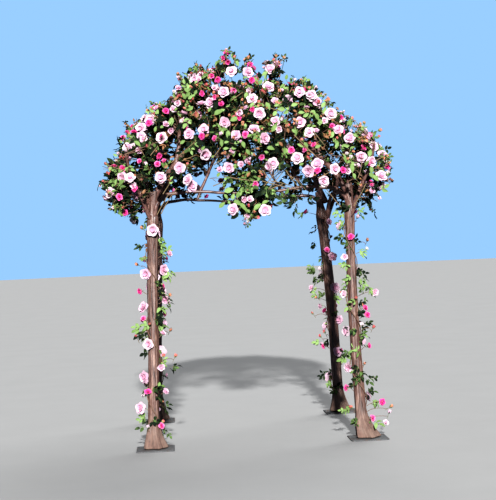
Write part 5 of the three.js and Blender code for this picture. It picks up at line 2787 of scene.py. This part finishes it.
    def build(self) -> None:
        """Models the garland and settles its pieces."""
        shares = np.linspace(0, 1, self.steps)
        vine = Limb(tuple(self.vine_point(s) for s in shares), self.vine_radius, self.vine_radius)
        self.seen_growth()
        self.hidden_growth()
        name = self.corner.label
        settle(tubes("vine_" + name, [vine, *self.stalks], self.finishes.twig, 1))
        settle(self.leaves.build(), ["garland_" + name])
        settle(self.blooms.build())


# The studio


@dataclass(frozen=True)
class Studio:
    """A plain pale floor, soft light and the camera at the photograph's viewing angle."""

    floor_radius: float = 90.0
    floor_colour: Colour = (0.40, 0.40, 0.395)
    backdrop_colour: Colour = (0.30, 0.54, 0.86)
    fill_colour: Colour = (0.62, 0.74, 0.95)
    fill_strength: float = 0.1
    key_strength: float = 5.6
    key_softness: float = 2.0
    back_strength: float = 2.8
    back_softness: float = 50.0
    to_back_light: tuple[float, float, float] = (0.35, 0.75, 0.55)

    def add_light(self, name: str, strength: float, softness: float, towards: Vector) -> Piece:
        """Adds a light that shines evenly along one direction.

        Args:
            name: The light's name.
            strength: Its strength.
            softness: How wide it seems, in degrees.
            towards: Where it stands, as a direction from the arch.

        Returns:
            The light.
        """
        data = bpy.data.lights.new(name, "SUN")
        data.energy = strength
        data.angle = math.radians(softness)
        light = new_object(name, data)
        light.rotation_euler = (-towards).to_track_quat("-Z", "Y").to_euler()
        return light

    def add_floor(self) -> None:
        """Adds the floor, a matte pale disc that casts no light back up on the arch."""
        deselect()
        bpy.ops.mesh.primitive_circle_add(vertices=96, radius=self.floor_radius, fill_type="NGON")
        floor = bpy.context.active_object
        floor.name = "studio_floor"
        skin = Skin("studio_floor")
        darker = tuple(0.96 * part for part in self.floor_colour)
        colour = skin.mix(skin.mottle(1.5, 0.3, 0.7), self.floor_colour, darker)
        skin.dress(Base_Color=colour, Roughness=0.9, Specular_IOR_Level=0.1)
        floor.data.materials.append(skin.material)
        floor.visible_diffuse = False
        floor.visible_glossy = False
        floor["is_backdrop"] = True

    def add_backdrop(self) -> None:
        """Sets the soft light from all round and the plain colour behind the arch."""
        world = bpy.data.worlds.new("studio")
        world.use_nodes = True
        shader, nodes = Shader(world.node_tree), world.node_tree.nodes
        fill = shader.feed(
            nodes["Background"], Color=self.fill_colour, Strength=self.fill_strength
        ).outputs[0]
        backdrop = shader.feed(shader.add("Background"), Color=self.backdrop_colour).outputs[0]
        to_camera = shader.add("LightPath").outputs["Is Camera Ray"]
        choice = shader.add("MixShader")
        for socket, value in zip(choice.inputs, (to_camera, fill, backdrop)):
            shader.put(socket, value)
        shader.feed(nodes["World Output"], Surface=choice.outputs[0])
        bpy.context.scene.world = world

    def build(self) -> None:
        """Makes the camera, the light, the backdrop and the floor."""
        VIEW.add_camera()
        self.add_light("key", self.key_strength, self.key_softness, Vector(TO_SUN))
        to_back = Vector(self.to_back_light)
        back = self.add_light("back", self.back_strength, self.back_softness, to_back)
        back.visible_glossy = False
        self.add_floor()
        self.add_backdrop()
        bpy.context.scene.view_settings.view_transform = "Standard"
        bpy.context.scene.view_settings.look = "Medium High Contrast"


def write_sizes() -> None:
    """Works out the CAD model's box and the dressed model's box."""
    boxes = {"cad": CAD_BOX, "visual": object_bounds()}
    plain = {name: [list(corner) for corner in box] for name, box in boxes.items()}


def main() -> None:
    """Builds every sub-assembly in order."""
    Studio().build()
    finishes = Finishes()
    limbs: list[Limb] = []
    for corner in Corner:
        FootPlate(corner, finishes).build()
        Trunk(corner, finishes).build()
        limbs += Boughs(corner, finishes).build()
    flowers = FlowerMaker().all()
    sprays, single_leaves = LeafMaker().sprays(), LeafMaker().singles()
    Canopy(finishes, flowers, sprays, FoliageSurface(), single_leaves).build(limbs)
    seen = {
        Corner.FRONT_LEFT: SEEN_LEFT_POST,
        Corner.FRONT_RIGHT: SEEN_RIGHT_POST,
        Corner.BACK_RIGHT: SEEN_BACK_RIGHT_POST,
    }
    for corner in Corner:
        Garland(finishes, flowers, sprays, corner, seen.get(corner, {})).build()
    write_sizes()


if __name__ == "__main__":
    main()
